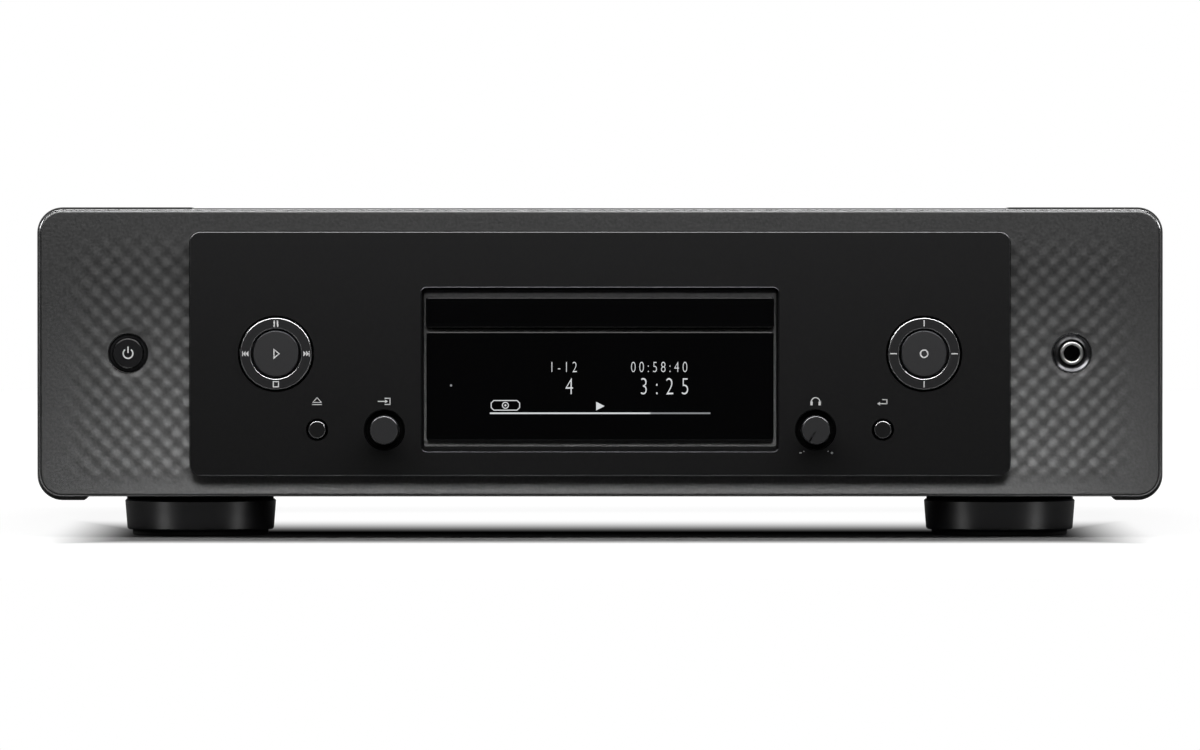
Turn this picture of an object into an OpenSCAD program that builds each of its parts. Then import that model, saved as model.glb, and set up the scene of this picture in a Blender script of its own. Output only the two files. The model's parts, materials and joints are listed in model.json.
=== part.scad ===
// Disc player with a motorised tray: a wide front frame with a floating centre panel,
// a sheet steel case, a loader mechanism and the boards that it needs.
// The front faces -Y and the floor is z = 0. The origin is under the middle of the case.

/* [Case] */
// Width over the skirts of the front frame, the widest piece
body_w = 443; // [430:1:460]
// Height of the front frame's top edge above the floor
body_h = 130; // [126:1:140]
// Depth from the frame's face to the rear panel's outer face
case_d = 391; // [380:1:430]
// Thickness of the sheet steel
sheet = 1.2; // [0.8:0.1:1.6]
// Step from the frame's side in to the top cover's side
cover_step = 1.5; // [0.8:0.1:4]
// Drop from the frame's top edge to the cover's top
cover_drop = 0.4; // [0.2:0.1:1]
// Outer bend radius of the top cover's long edges
cover_bend = 9; // [8:0.1:9.4]
// Height of the cover's lower edges above the underside of the bottom chassis
cover_rise = 3.6; // [3.4:0.1:5]
// Height of the cover's flange on the rear panel
cover_flange = 10; // [8:1:11]
// Outer bend radius of the bottom chassis's long edges
chassis_bend = 4; // [3.5:0.1:5]
// Height of the upturned sides of the bottom chassis
chassis_flange = 13; // [10:1:20]

/* [Front frame] */
// Depth of the frame, front to back
frame_d = 24; // [22:1:32]
// Depth of the lip that stands ahead of the skirts
lip_d = 6; // [5:0.5:9]
// Wall around the frame
frame_wall = 3; // [2:0.5:4]
// Thickness of the frame's face
frame_face = 4; // [3.6:0.2:5]
// Outer corner radius of the skirts
frame_r = 10; // [6:1:14]
// Fillet round the lip's front edge
frame_edge = 1.2; // [0.6:0.1:2]
// Height of the skirts' lower edge above the floor
frame_low = 14.7; // [14:0.1:18]
// How far the skirts stand out beyond the lip at the sides and the top
skirt_step = 1; // [0.5:0.1:2]
// How far the skirts reach below the lip
skirt_drop = 1.6; // [1:0.1:3]
// Distance from the frame's end in to the skirts' gap along the top
skirt_top_in = 61.5; // [45:0.5:80]
// Distance from the frame's end in to the skirts' gap along the bottom
skirt_low_in = 20; // [16:0.5:23]
// Width of the notch at each end of the cover's tongue
tongue_nick = 1.2; // [0.5:0.1:2]
// Length of the cover's tongue that lies on the frame
tongue_len = 16; // [10:1:17]

/* [Centre panel] */
// Width of the panel
panel_w = 322; // [316:1:330]
// Height of the panel
panel_h = 95.8; // [92:0.2:100]
// Thickness of the panel
panel_t = 8; // [7:0.5:10]
// Air gap between the panel and the frame
panel_gap = 4; // [3:0.5:6]
// Corner radius of the panel
panel_r = 4.4; // [2:0.2:8]
// Fillet round the panel's front edge
panel_edge = 0.6; // [0.3:0.1:1]
// How far the pedestal behind the panel stays in from its edges
pedestal_inset = 9; // [7:1:12]
// Width of the window in the panel's face
window_w = 140.3; // [140:0.1:144]
// Height of the window in the panel's face
window_h = 64.6; // [64.2:0.1:68]
// Height of the window's middle below the panel's middle
window_drop = 6.3; // [5.9:0.1:6.7]
// Corner radius of the window
window_r = 2.2; // [1.5:0.1:4]
// Width of the bevel round the window
window_bevel = 1; // [0.5:0.1:1.2]
// Depth of the bevel round the window
bevel_d = 3; // [2:0.5:5]
// Rise of the sill at the bottom of the window
window_sill = 1.1; // [0.5:0.1:2]

/* [Display] */
// Width of the display window
pane_w = 136.2; // [130:0.2:137]
// Height of the display window
pane_h = 42.5; // [40:0.5:43]
// Height of the display window's middle below the panel's middle
pane_drop = 12.8; // [12.4:0.1:13.4]
// How far the tray front and the window sit behind the panel's face
pane_depth = 2.5; // [1.5:0.1:3.5]
// Overlap of the window's edge on the pedestal
pane_lap = 5; // [3:0.5:8]

/* [Controls] */
// Distance of the power button and the headphone jack from the frame's ends
power_in = 36; // [34:0.5:37]
// Radius of the holes for the power button and the headphone jack
power_hole_r = 7.7; // [7.6:0.1:8.4]
// Radius of the power button
power_r = 5.9; // [4:0.1:6]
// Travel of the power button
power_travel = 1.5; // [1:0.1:2]
// Radius of the headphone plug's bore
phones_bore_r = 3.2; // [3.2:0.05:3.4]
// Distance of the two rings from the middle
ring_x = 127; // [122:1:130]
// Outer radius of the rings
ring_r = 14.1; // [13.9:0.1:15]
// Inner radius of the rings
ring_in_r = 9.8; // [9.3:0.1:10.4]
// Gap round the rings and round the buttons in them
ring_gap = 0.6; // [0.5:0.05:0.9]
// Travel of the buttons in the rings and of the small buttons
press_travel = 0.6; // [0.4:0.1:0.8]
// Height of the lower row of controls below the panel's middle
row_drop = 29.8; // [29:0.2:32]
// Distance of the eject and back buttons from the middle
small_x = 110.9; // [109:0.1:113]
// Radius of the eject and back buttons
small_r = 3.4; // [3:0.1:3.8]
// Gap round the eject and back buttons
small_gap = 0.7; // [0.4:0.1:0.9]
// Distance of the two knobs from the middle
knob_x = 84.5; // [82.5:0.5:86]
// Radius of the knobs
knob_r = 5.6; // [5:0.1:6]
// Radius of the holes round the knobs
knob_hole_r = 7.8; // [7.4:0.1:8.6]
// How far the knobs stand ahead of the panel
knob_stand = 9.5; // [7:0.5:14]

/* [Feet] */
// Diameter at the top of a foot
foot_d = 60; // [50:1:66]
// How much a foot narrows to its bottom
foot_taper = 1.7; // [0.5:0.1:4]
// Gap between a foot's rim and the chassis
foot_gap = 2.1; // [1:0.1:4]
// Thickness of the pad that shows under a foot
pad_t = 2.2; // [1.5:0.1:3]
// Distance of the front feet's centres from the frame's ends
front_foot_in = 62.7; // [56:0.1:72]
// Distance of the rear feet's centres from the frame's ends
rear_foot_in = 49.5; // [44:0.5:56]
// Distance of the front feet's centres behind the frame's face
front_foot_back = 46; // [42:1:50]
// Distance of the rear feet's centres ahead of the rear panel
rear_foot_ahead = 60; // [40:1:80]

/* [Tray] */
// Width of the tray front
tray_front_w = 136.5; // [134:0.1:137]
// Height of the tray front
tray_front_h = 12; // [11.6:0.1:12.4]
// Thickness of the tray front
tray_front_t = 5; // [4:0.1:5.2]
// Height of the tray front's middle above the panel's middle
tray_rise = 16.1; // [16:0.1:16.4]
// Width of the tray
tray_w = 130; // [128:1:131]
// Height of the tray's rim
tray_h = 7; // [6:0.2:8]
// Length of the tray behind its front
tray_len = 223; // [215:1:235]
// How far the tray comes out
tray_travel = 150; // [140:1:155]
// Radius of the recess for the disc
disc_r = 61; // [60.5:0.1:62]
// Depth of the recess for the disc
disc_depth = 4.6; // [3.5:0.1:5]
// Space between the tray front and the recess
tray_lead = 19; // [14:1:24]

/* [Mechanism] */
// Clearance between pieces that move past each other
run_gap = 0.3; // [0.2:0.05:0.5]
// Clearance of a shaft in its bearing
pin_gap = 0.05; // [0.02:0.01:0.1]
// Number of teeth on the loading gear
gear_teeth = 16; // [14:1:18]
// Module of the loading gear and its rack
gear_module = 1; // [0.9:0.05:1.1]
// Play between the gear's teeth and the rack's
tooth_play = 0.25; // [0.15:0.05:0.4]
// Radius of the belt's groove on the loading gear
pulley_r = 11; // [9:0.5:12]
// Radius of the belt's groove on the motor pulley
motor_pulley_r = 3.5; // [3:0.1:5]
// Radius of the turntable
turntable_r = 14; // [12:0.5:15]
// Distance of the pickup's lens from the spindle at the inner stop
lens_in = 24; // [23:0.5:28]
// Travel of the pickup
sled_travel = 34; // [30:1:36]
// Radius of the guide rods
rod_r = 1.5; // [1.2:0.1:2]
// Distance of the guide rods from the middle
rod_x = 21; // [20:0.5:22]
// Radius of the lead screw
screw_r = 1.4; // [1:0.1:1.8]

/* [Electronics] */
// Thickness of the circuit boards
board_t = 1.6; // [1.2:0.2:2]
// Height of the standoffs under the boards
standoff_h = 10; // [8:1:14]
// Radius of the transformer
transformer_r = 50; // [40:1:56]
// Height of the transformer
transformer_h = 48; // [40:1:60]
// Width of the power supply board
supply_w = 120; // [100:1:126]
// Length of the power supply board
supply_l = 130; // [100:1:150]
// Width of the main board
main_w = 140; // [120:1:150]
// Length of the main board
main_l = 110; // [90:1:125]
// Width of the audio board
audio_w = 118; // [100:1:124]
// Length of the audio board
audio_l = 250; // [200:1:280]

/* [Sockets] */
// How far the phono jacks stand behind the rear panel
jack_stand = 11.5; // [10:0.5:14]
// Outer radius of a phono jack's sleeve
phono_r = 4.15; // [4:0.05:4.3]
// Distances of the phono jacks from the rear panel's end
phono_in = [32.7, 58.7, 100.7, 126.7]; // [29:0.1:136]
// Height of the lower row of sockets above the floor
socket_low = 62; // [56:1:66]
// Height of the upper row of sockets above the lower row
socket_rise = 22; // [20:1:28]
// Distance of the optical sockets from the middle
optical_x = 62; // [56:1:66]
// Height of the data ports and the mains inlet above the floor
port_z = 48; // [44:1:54]
// Distance of the mains inlet from the rear panel's end
inlet_in = 38.7; // [30:0.1:48]
// Distance of the aerial sockets from the rear panel's ends
aerial_in = 20.7; // [17:0.1:28]
// Height of the aerial sockets above the floor
aerial_z = 104; // [98:1:108]

/* [Hidden] */
$fn = 72;

// Reach of a cut past the face that it opens
past = 1;
// Clearance of fixed pieces set into one another
seat_gap = 0.1;

// Planes from front to back
overall_d = knob_stand + panel_t + panel_gap + case_d + jack_stand;
knob_y = -overall_d / 2;
panel_y = knob_y + knob_stand;
panel_back = panel_y + panel_t;
face_y = panel_back + panel_gap;
face_back = face_y + frame_face;
frame_back = face_y + frame_d;
inner_front = frame_back + sheet;
rear_y = face_y + case_d;
rear_in = rear_y - sheet;
pane_y = panel_y + pane_depth;

// Levels and widths of the case
chassis_low = frame_low + skirt_drop;
floor_z = chassis_low + sheet;
lip_top = body_h - skirt_step;
lip_h = lip_top - chassis_low;
lip_w = body_w - 2 * skirt_step;
mid_z = chassis_low + lip_h / 2;
cover_w = body_w - 2 * cover_step;
cover_top = body_h - cover_drop;
roof_z = cover_top - sheet;
cover_low = chassis_low + cover_rise;
roof_bend = cover_bend - sheet - seat_gap;
inner_w = cover_w - 2 * sheet - 2 * seat_gap;
skirt_top_x = body_w / 2 - skirt_top_in;
skirt_low_x = body_w / 2 - skirt_low_in;
power_x = body_w / 2 - power_in;

// Levels of the front
window_z = mid_z - window_drop;
pane_z = mid_z - pane_drop;
row_z = mid_z - row_drop;
tray_z = mid_z + tray_rise;
open_w = window_w - 2 * window_bevel;
open_h = window_h - 2 * window_bevel;
hole_edge = 0.3;

// Switch boards behind the frame's face
board_post = 8;
board_y = face_back + board_post;
board_post_r = 2.4;
post_in = 3.5;
switch_board_h = 60;
switch_board_low = mid_z - 38;
board_in_x = 71;
left_board_past = 17.5;
right_board_past = 43;
left_board_w = power_x + left_board_past - board_in_x;
right_board_w = ring_x + right_board_past - board_in_x;
ring_switch_r = 9.5;
switch_play = 0.1;
ring_switch_play = 0.5;
plunger_r = 1.6;
tact_w = 6;
tact_h = 3.4;
stem_tip = board_y - tact_h - 2;

// Rings, their carriers and the buttons in them
button_r = ring_in_r - ring_gap;
ring_hole_r = ring_r + ring_gap;
ring_proud = 0.8;
ring_back = panel_y + 6;
pivot_y = panel_back + 2.6;
pivot_r = 1;
carrier_t = 3;
carrier_r = ring_r - 1.1;
carrier_bore_r = 6.5;
carrier_well_r = ring_r + 1.1;
pivot_reach = carrier_well_r + 2.8;
lug_out = ring_r - 0.2;
lug_in = lug_out - 2.2;
lug_w = 6;
button_proud = 1.3;
button_stem_r = 3.2;

// Small buttons and the power button
small_proud = 0.7;
small_hole_r = small_r + small_gap;
small_flange_r = small_hole_r + 0.9;
collar_r = power_r + 0.4;
power_flange_r = power_hole_r + 0.6;

// Knobs and the controls behind them
shaft_r = 3;
bushing_r = 3.8;
knob_back = panel_back - 1.5;
control_body = 12;
control_d = 6.5;
control_y = board_y - control_d;
index_w = 0.9;

// Headphone jack
jack_nose_r = 4.5;
jack_collar_r = 5.5;
jack_body_w = 14.5;
jack_body_l = 28;
jack_stand_off = 0.3;
jack_front = face_y - jack_stand_off;
jack_room = 2;

// Openings for flat cables in the front sub-chassis
cable_x = 100;
cable_rise = 16;
cable_w = 40;
cable_h = 12;

// Feet
foot_r = foot_d / 2;
foot_top = chassis_low - foot_gap;
foot_neck_r = 17;
pad_r = foot_r - 3;
pad_in_r = 9;
pad_sink = 1;
foot_bolt_r = 2;
foot_head_r = 4.2;
foot_head_z = 6;
front_foot_x = body_w / 2 - front_foot_in;
rear_foot_x = body_w / 2 - rear_foot_in;
front_foot_y = face_y + front_foot_back;
rear_foot_y = rear_y - rear_foot_ahead;
FRONT_FEET = [[-front_foot_x, front_foot_y], [front_foot_x, front_foot_y]];
REAR_FEET = [[-rear_foot_x, rear_foot_y], [rear_foot_x, rear_foot_y]];

// Tray and the way it runs through the front
tray_low = tray_z - tray_h / 2;
tray_top = tray_low + tray_h;
tray_y = pane_y + tray_front_t;
tray_end = tray_y + tray_len;
disc_floor = tray_top - disc_depth;
small_disc_r = 40.8;
small_disc_step = 0.7;
spindle_y = tray_y + tray_lead + disc_r;
slot_half = turntable_r + 2.5;
rail_w = 5;
rear_deck = disc_floor + 1.4;
rack_t = 2.6;
rack_low = tray_low - rack_t;
mouth_w = tray_w + 3;
mouth_low = rack_low - 0.6;
mouth_top = tray_top + 1.4;

// Loading gear and rack
gear_pitch_r = gear_module * gear_teeth / 2;
rack_pitch = PI * gear_module;
rack_x = -55.5;
rack_w = 4;
gear_x = rack_x + gear_pitch_r;
gear_y = inner_front + 25;
gear_low = rack_low + 0.1;
gear_top = tray_low - run_gap;
gear_post_r = 2;
gear_sleeve_r = 3.4;
tooth_add = 0.85 * gear_module;
tooth_ded = 1.15 * gear_module;
pressure = 20;

// Belt drive
motor_x = -12;
motor_y = inner_front + 14;
motor_r = 9;
motor_l = 20;
motor_shaft_r = 1;
belt_t = 0.9;
belt_h = 2;
belt_steps = 24;
groove_h = 2.6;
pulley_flange = 0.7;

// Loader
loader_floor_t = 2;
loader_floor = tray_low - 33;
loader_deck = loader_floor + loader_floor_t;
loader_y = inner_front + 2;
loader_end = tray_end + 8;
loader_wall = 3.5;
guide_gap = 1.2;
loader_in_x = tray_w / 2 + guide_gap;
loader_out_x = loader_in_x + loader_wall;
ledge_w = 4.5;
ledge_h = 3;
lip_h_tray = 2;
wall_top = tray_top + 4.2;
leg_r = 4;
pulley_low = loader_deck + 0.5;

// Traverse, from the spindle's place
lift = 10.2;
hub_rise = 0.5;
hub_seat = tray_top + hub_rise - lift;
hub_t = 3;
boss_r = 7.4;
boss_h = 1.8;
boss_edge = 0.8;
boss_lead = 1.2;
hub_neck_r = 3.2;
shaft_seat = 2;
hub_neck = 10.3;
traverse_top = hub_seat - hub_neck;
traverse_t = 2.5;
traverse_low = traverse_top - traverse_t;
traverse_half = 33;
traverse_ahead = 22;
traverse_y = spindle_y - traverse_ahead;
rod_start = 5;
rod_y = spindle_y + rod_start;
lug_t = 4;
lug_wall = 1.5;
end_play = 0.2;
rod_past = 24;
rod_end = spindle_y + lens_in + sled_travel + rod_past;
traverse_past = 13;
traverse_end = rod_end + traverse_past;
rod_drop = 5.5;
rod_z = traverse_low - rod_drop;
hub_hole_r = 5;
turret_gap = 2;
screw_lug = 3;
nut_half = 3;
nut_wall = 1.2;
pillar_r = 2;
pillar_in = 5;
pillar_wide = 28;
pillar_narrow = 13;
PILLARS = [
    [-pillar_wide, traverse_y + pillar_in], [pillar_wide, traverse_y + pillar_in],
    [-pillar_narrow, traverse_end - pillar_in], [pillar_narrow, traverse_end - pillar_in]
];
spindle_motor_r = 13;
spindle_motor_h = 11.5;
spindle_shaft_r = 1;
lens_y = spindle_y + lens_in;
sled_half = 9;
sled_h = 8;
sleeve_wall = 2.4;
turret_w = 17;
turret_l = 14;
lens_r = 3.2;
lens_top = hub_seat - 2.5;
screw_x = 29;
screw_end = rod_end - 4;
sled_motor_r = 4.6;
sled_motor_l = 11;

// Clamp
clamper_low = tray_top + 1.4;
bridge_t = 2;
bridge_half = 24;
clamper_hole_r = 18;
clamper_play = 0.8;
clamper_lap = 2.2;
clamper_r = clamper_hole_r - clamper_play;
clamper_flange_r = clamper_hole_r + clamper_lap;
clamper_flange_t = 2;
clamper_edge = 0.6;
boss_room = 1;

// Boards on the chassis
board_z = floor_z + standoff_h;
board_top = board_z + board_t;
standoff_r = 3.2;
standoff_in = 6;
board_rear = rear_in - 24;
board_side = 8;
transformer_side = 26;
transformer_back = 30;
transformer_hole = 15;
transformer_round = 12;
washer_r = 26;
washer_t = 2;
clamp_nut_r = 5.5;
clamp_nut_h = 4.5;
supply_x = -(inner_w / 2 - sheet - board_side - supply_w / 2);
audio_x = inner_w / 2 - sheet - board_side - audio_w / 2;
main_x = 0;
transformer_x = -(inner_w / 2 - sheet - transformer_side - transformer_r);
transformer_y = inner_front + transformer_back + transformer_r;
BOARDS = [
    [supply_x, board_rear - supply_l / 2, supply_w, supply_l],
    [main_x, board_rear - main_l / 2, main_w, main_l],
    [audio_x, board_rear - audio_l / 2, audio_w, audio_l]
];

// Parts on the boards: each chip has its place from the board's middle and its size
SUPPLY_CHIPS = [[35, 40, 24, 20, 16], [35, 5, 30, 24, 22]];
MAIN_CHIPS = [[-30, 0, 24, 24, 2], [12, -6, 18, 18, 2], [40, -22, 30, 40, 5], [-35, 36, 18, 12, 4]];
AUDIO_CHIPS = [[0, 20, 14, 14, 2]];
regulator_in = 8;
regulator_y = -30;
regulator_pitch = 18;
can_r = 11;
can_h = 35;
can_y = -34;
can_pitch = 26;
audio_can_r = 8;
audio_can_h = 25;
audio_can_x = 24;
audio_can_y = -60;
audio_can_pitch = 24;
relay_x = 22;
relay_y = 40;
relay_pitch = 22;

// Rows of air slots under the main board
vent_count = 9;
vent_w = 3;
vent_l = 90;
vent_pitch = 8;
vent_y = board_rear - main_l + 20;

// Screws
clamp_bolt_r = 3;
screw_head_r = 3;
screw_head_t = 1.4;
screw_shank_r = 1.5;
screw_hole_r = screw_shank_r + seat_gap;
screw_len = 6;
side_screw_z = floor_z + chassis_flange - 5;
SIDE_SCREW_Y = [frame_back + 45, (frame_back + rear_in) / 2, rear_in - 45];
rear_screw_z = cover_top - cover_flange / 2 - 0.5;
REAR_SCREW_X = [-cover_w / 2 + 22, 0, cover_w / 2 - 22];

// Sockets
SOCKET_ROWS = [socket_low, socket_low + socket_rise];
phono_base_r = 5.6;
phono_contact_r = 1.65;
phono_body = 15;
optical_w = 9.8;
optical_space = 7.6;
optical_d = 12;
inlet_w = 27;
inlet_h = 20;
inlet_d = 18;
inlet_space_w = 24.2;
inlet_space_h = 16.4;
inlet_space_d = 15;
inlet_pin_x = 7;
inlet_x = inner_w / 2 - inlet_in;
phono_x = [for (d = phono_in) inner_w / 2 - d];
aerial_x = inner_w / 2 - aerial_in;
usb_x = 30;
usb_b_x = 4;
network_x = -26;
port_wall = 0.8;
port_d = 16;
PORTS = [[usb_x, 14.5, 7.2], [usb_b_x, 12, 11], [network_x, 16, 13.6]];
aerial_r = 3.1;
aerial_tail = 6;
aerial_stand = 9;
aerial_nut_r = 4.4;
aerial_nut_h = 1.8;
aerial_flange_r = 4.6;
aerial_flange_t = 2;

// Stands a drawing of x and z upright: its front is at y_front, its back is depth behind
module standing(y_front, depth) {
    translate([0, y_front + depth, 0])
        rotate([90, 0, 0])
            children();
}

// Turns a profile of radius and depth about an axis that runs back from a point
module turned_back(at) {
    translate(at)
        rotate([-90, 0, 0])
            rotate_extrude()
                children();
}

// A round bar or hole that runs back from a point
module bar_back(at, r, depth) {
    translate(at)
        rotate([-90, 0, 0])
            cylinder(r = r, h = depth);
}

// A round hole that runs back, with its front edge broken
module edged_hole(at, r, depth) {
    translate([at.x, at.y - past, at.z])
        bar_back([0, 0, 0], r, depth + 2 * past);
    translate(at)
        rotate([-90, 0, 0])
            cylinder(r1 = r + hole_edge, r2 = r, h = hole_edge);
}

// A flat rectangle with round corners
module round_rect(w, h, r) {
    square([w - 2 * r, h], center = true);
    square([w, h - 2 * r], center = true);
    for (sx = [-1, 1], sz = [-1, 1])
        translate([sx * (w / 2 - r), sz * (h / 2 - r)])
            circle(r);
}

// Half of a slab's section, out to the given distance, with a round top edge
module soft_edge(reach, t, f) {
    square([reach, t - f]);
    square([reach - f, t]);
    translate([reach - f, t - f])
        circle(f);
}

// Half of a slab's section that flares out by c towards its top
module flared_edge(reach, t, c) {
    polygon([[0, 0], [reach - c, 0], [reach, t], [0, t]]);
}

module slab_edge(reach, t, f, c) {
    if (c > 0)
        flared_edge(reach, t, c);
    else
        soft_edge(reach, t, f);
}

// A slab with round corners, whose top edge has the fillet f or flares by c
module slab(w, h, t, r, f = 0, c = 0) {
    for (side = [0, 1])
        mirror([0, side, 0])
            rotate([90, 0, 90])
                linear_extrude(w - 2 * r, center = true)
                    slab_edge(h / 2, t, f, c);
    for (side = [0, 1])
        mirror([side, 0, 0])
            translate([w / 2 - r, 0, 0])
                rotate([90, 0, 0])
                    linear_extrude(h - 2 * r, center = true)
                        slab_edge(r, t, f, c);
    for (mx = [0, 1], my = [0, 1])
        mirror([mx, 0, 0])
            mirror([0, my, 0])
                translate([w / 2 - r, h / 2 - r, 0])
                    rotate_extrude(angle = 90)
                        slab_edge(r, t, f, c);
}

// A box given by its lower and upper corners
module box(low, high) {
    translate(low)
        cube(high - low);
}

// A box that is centred in x and z about a point and runs back from it
module box_back(at, w, h, depth) {
    translate([at.x - w / 2, at.y, at.z - h / 2])
        cube([w, depth, h]);
}

// A long slot with round ends, drawn flat
module slot(length, width) {
    square([length - width, width], center = true);
    for (side = [-1, 1])
        translate([side * (length - width) / 2, 0])
            circle(width / 2);
}

// Section of the cover: a flat roof with bent edges, from a level up to a top
module arch(w, low, top, bend) {
    translate([-w / 2, low])
        square([w, top - bend - low]);
    translate([-w / 2 + bend, low])
        square([w - 2 * bend, top - low]);
    for (side = [-1, 1])
        translate([side * (w / 2 - bend), top - bend])
            circle(bend);
}

// Outline of an upright trough with round lower corners
module trough(w, low, top, bend) {
    translate([-w / 2, low + bend])
        square([w, top - bend - low]);
    translate([-w / 2 + bend, low])
        square([w - 2 * bend, top - low]);
    for (side = [-1, 1])
        translate([side * (w / 2 - bend), low + bend])
            circle(bend);
}

module top_cover() {
    color("#1c1d1f")
        difference() {
            union() {
                standing(frame_back, case_d - frame_d + sheet)
                    linear_extrude(case_d - frame_d + sheet)
                        arch(cover_w, cover_low, cover_top, cover_bend);
                box([-skirt_top_x + tongue_nick, frame_back - tongue_len, roof_z],
                    [skirt_top_x - tongue_nick, frame_back + past, cover_top]);
            }
            standing(frame_back - past, case_d - frame_d + past)
                linear_extrude(case_d - frame_d + past)
                    arch(cover_w - 2 * sheet, cover_low - past, roof_z, cover_bend - sheet);
            box([-inner_w / 2, rear_y - past, cover_low - past],
                [inner_w / 2, rear_y + sheet + past, cover_top - cover_flange]);
            for (y = SIDE_SCREW_Y)
                translate([0, y, side_screw_z])
                    rotate([0, 90, 0])
                        cylinder(r = screw_hole_r, h = cover_w + past, center = true);
            for (x = REAR_SCREW_X)
                bar_back([x, rear_y - past, rear_screw_z], screw_hole_r, sheet + 2 * past);
        }
}

module bottom_chassis() {
    chassis_l = rear_in - frame_back;
    flange_top = floor_z + chassis_flange;
    color("#5b5d60")
        difference() {
            union() {
                standing(frame_back, chassis_l)
                    linear_extrude(chassis_l)
                        difference() {
                            trough(inner_w, chassis_low, flange_top, chassis_bend);
                            trough(inner_w - 2 * sheet, floor_z, flange_top + past,
                                   chassis_bend - sheet);
                        }
                for (b = BOARDS, sx = [-1, 1], sy = [-1, 1])
                    translate(standoff_at(b, sx, sy))
                        cylinder(r = standoff_r, h = standoff_h);
            }
            for (f = concat(FRONT_FEET, REAR_FEET))
                translate([f.x, f.y, chassis_low - past])
                    cylinder(r = foot_bolt_r + seat_gap, h = sheet + 2 * past);
            translate([transformer_x, transformer_y, chassis_low - past])
                cylinder(r = clamp_bolt_r + seat_gap, h = sheet + 2 * past);
            for (y = SIDE_SCREW_Y)
                translate([0, y, side_screw_z])
                    rotate([0, 90, 0])
                        cylinder(r = screw_hole_r, h = cover_w, center = true);
            for (i = [0:vent_count - 1])
                translate([0, vent_y + i * vent_pitch, chassis_low - past])
                    linear_extrude(sheet + 2 * past)
                        slot(vent_l, vent_w);
        }
}

// Where a board's standoff stands, at one corner of the board
function standoff_at(b, sx, sy) = [
    b[0] + sx * (b[2] / 2 - standoff_in),
    b[1] + sy * (b[3] / 2 - standoff_in),
    floor_z
];

module rear_panel() {
    color("#232426")
        difference() {
            standing(rear_in, sheet)
                linear_extrude(sheet)
                    intersection() {
                        arch(inner_w, chassis_low, roof_z - seat_gap, roof_bend);
                        trough(inner_w, chassis_low, roof_z, chassis_bend);
                    }
            for (x = phono_x, z = SOCKET_ROWS)
                bar_back([x, rear_in - past, z], phono_base_r + seat_gap, sheet + 2 * past);
            for (z = SOCKET_ROWS)
                box_back([optical_x, rear_in - past, z],
                         optical_w + 2 * seat_gap, optical_w + 2 * seat_gap, sheet + 2 * past);
            box_back([-inlet_x, rear_in - past, port_z],
                     inlet_w + 2 * seat_gap, inlet_h + 2 * seat_gap, sheet + 2 * past);
            for (p = PORTS)
                box_back([p[0], rear_in - past, port_z],
                         p[1] + 2 * seat_gap, p[2] + 2 * seat_gap, sheet + 2 * past);
            for (side = [-1, 1])
                bar_back([side * aerial_x, rear_in - past, aerial_z],
                         aerial_r + seat_gap, sheet + 2 * past);
            for (x = REAR_SCREW_X)
                bar_back([x, rear_in - past, rear_screw_z], screw_hole_r, sheet + 2 * past);
        }
}

// Cut that parts the skirts along the top, with slanted ends
module skirt_gap_top() {
    depth = frame_d - lip_d + past;
    standing(face_y + lip_d, depth)
        linear_extrude(depth)
            polygon([
                [-skirt_top_x, roof_z - seat_gap],
                [skirt_top_x, roof_z - seat_gap],
                [skirt_top_x + tongue_nick, body_h + past],
                [-skirt_top_x - tongue_nick, body_h + past]
            ]);
}

// Cut that parts the skirts along the bottom, with slanted ends
module skirt_gap_low() {
    depth = frame_d - lip_d + past;
    standing(face_y + lip_d, depth)
        linear_extrude(depth)
            polygon([
                [-skirt_low_x, chassis_low],
                [-skirt_low_x - skirt_drop - past, frame_low - past],
                [skirt_low_x + skirt_drop + past, frame_low - past],
                [skirt_low_x, chassis_low]
            ]);
}

// Places of the posts that carry a switch board: side is -1 or 1, w its width
function board_posts(side, w) = [
    for (x = [board_in_x + post_in, board_in_x + w - post_in], z = [post_in, switch_board_h - post_in])
        [side * x, switch_board_low + z]
];

module front_frame() {
    skirt_d = frame_d - lip_d;
    through = panel_gap + frame_face + 2 * past;
    color("#3b3c3e")
        difference() {
            union() {
                difference() {
                    union() {
                        translate([0, 0, mid_z])
                            standing(face_y, lip_d)
                                slab(lip_w, lip_h, lip_d, frame_r - skirt_step, f = frame_edge);
                        translate([0, 0, (frame_low + body_h) / 2])
                            standing(face_y + lip_d, skirt_d)
                                linear_extrude(skirt_d)
                                    round_rect(body_w, body_h - frame_low, frame_r);
                    }
                    translate([0, 0, mid_z])
                        standing(face_back, frame_d)
                            linear_extrude(frame_d)
                                round_rect(lip_w - 2 * frame_wall, lip_h - 2 * frame_wall,
                                           frame_r - skirt_step - frame_wall);
                    skirt_gap_top();
                    skirt_gap_low();
                }
                translate([0, 0, mid_z])
                    standing(panel_back, panel_gap)
                        linear_extrude(panel_gap)
                            round_rect(panel_w - 2 * pedestal_inset,
                                       panel_h - 2 * pedestal_inset, panel_r);
                for (p = concat(board_posts(-1, left_board_w), board_posts(1, right_board_w)))
                    bar_back([p.x, face_back, p.y], board_post_r, board_post);
            }
            for (side = [-1, 1]) {
                edged_hole([side * power_x, face_y, mid_z], power_hole_r, frame_face);
                bar_back([side * ring_x, panel_back - past, mid_z], carrier_well_r, through);
                translate([side * ring_x, pivot_y, mid_z])
                    rotate([0, 90, 0])
                        cylinder(r = pivot_r + pin_gap, h = 2 * pivot_reach + 1, center = true);
                bar_back([side * small_x, panel_back - past, row_z], small_hole_r, through);
                bar_back([side * knob_x, panel_back - past, row_z], bushing_r + seat_gap, through);
            }
            box([-mouth_w / 2, panel_back - past, mouth_low],
                [mouth_w / 2, face_back + past, mouth_top]);
            box_back([0, panel_back - past, pane_z],
                     pane_w - 2 * pane_lap, pane_h - 2 * pane_lap, through);
        }
}

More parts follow.
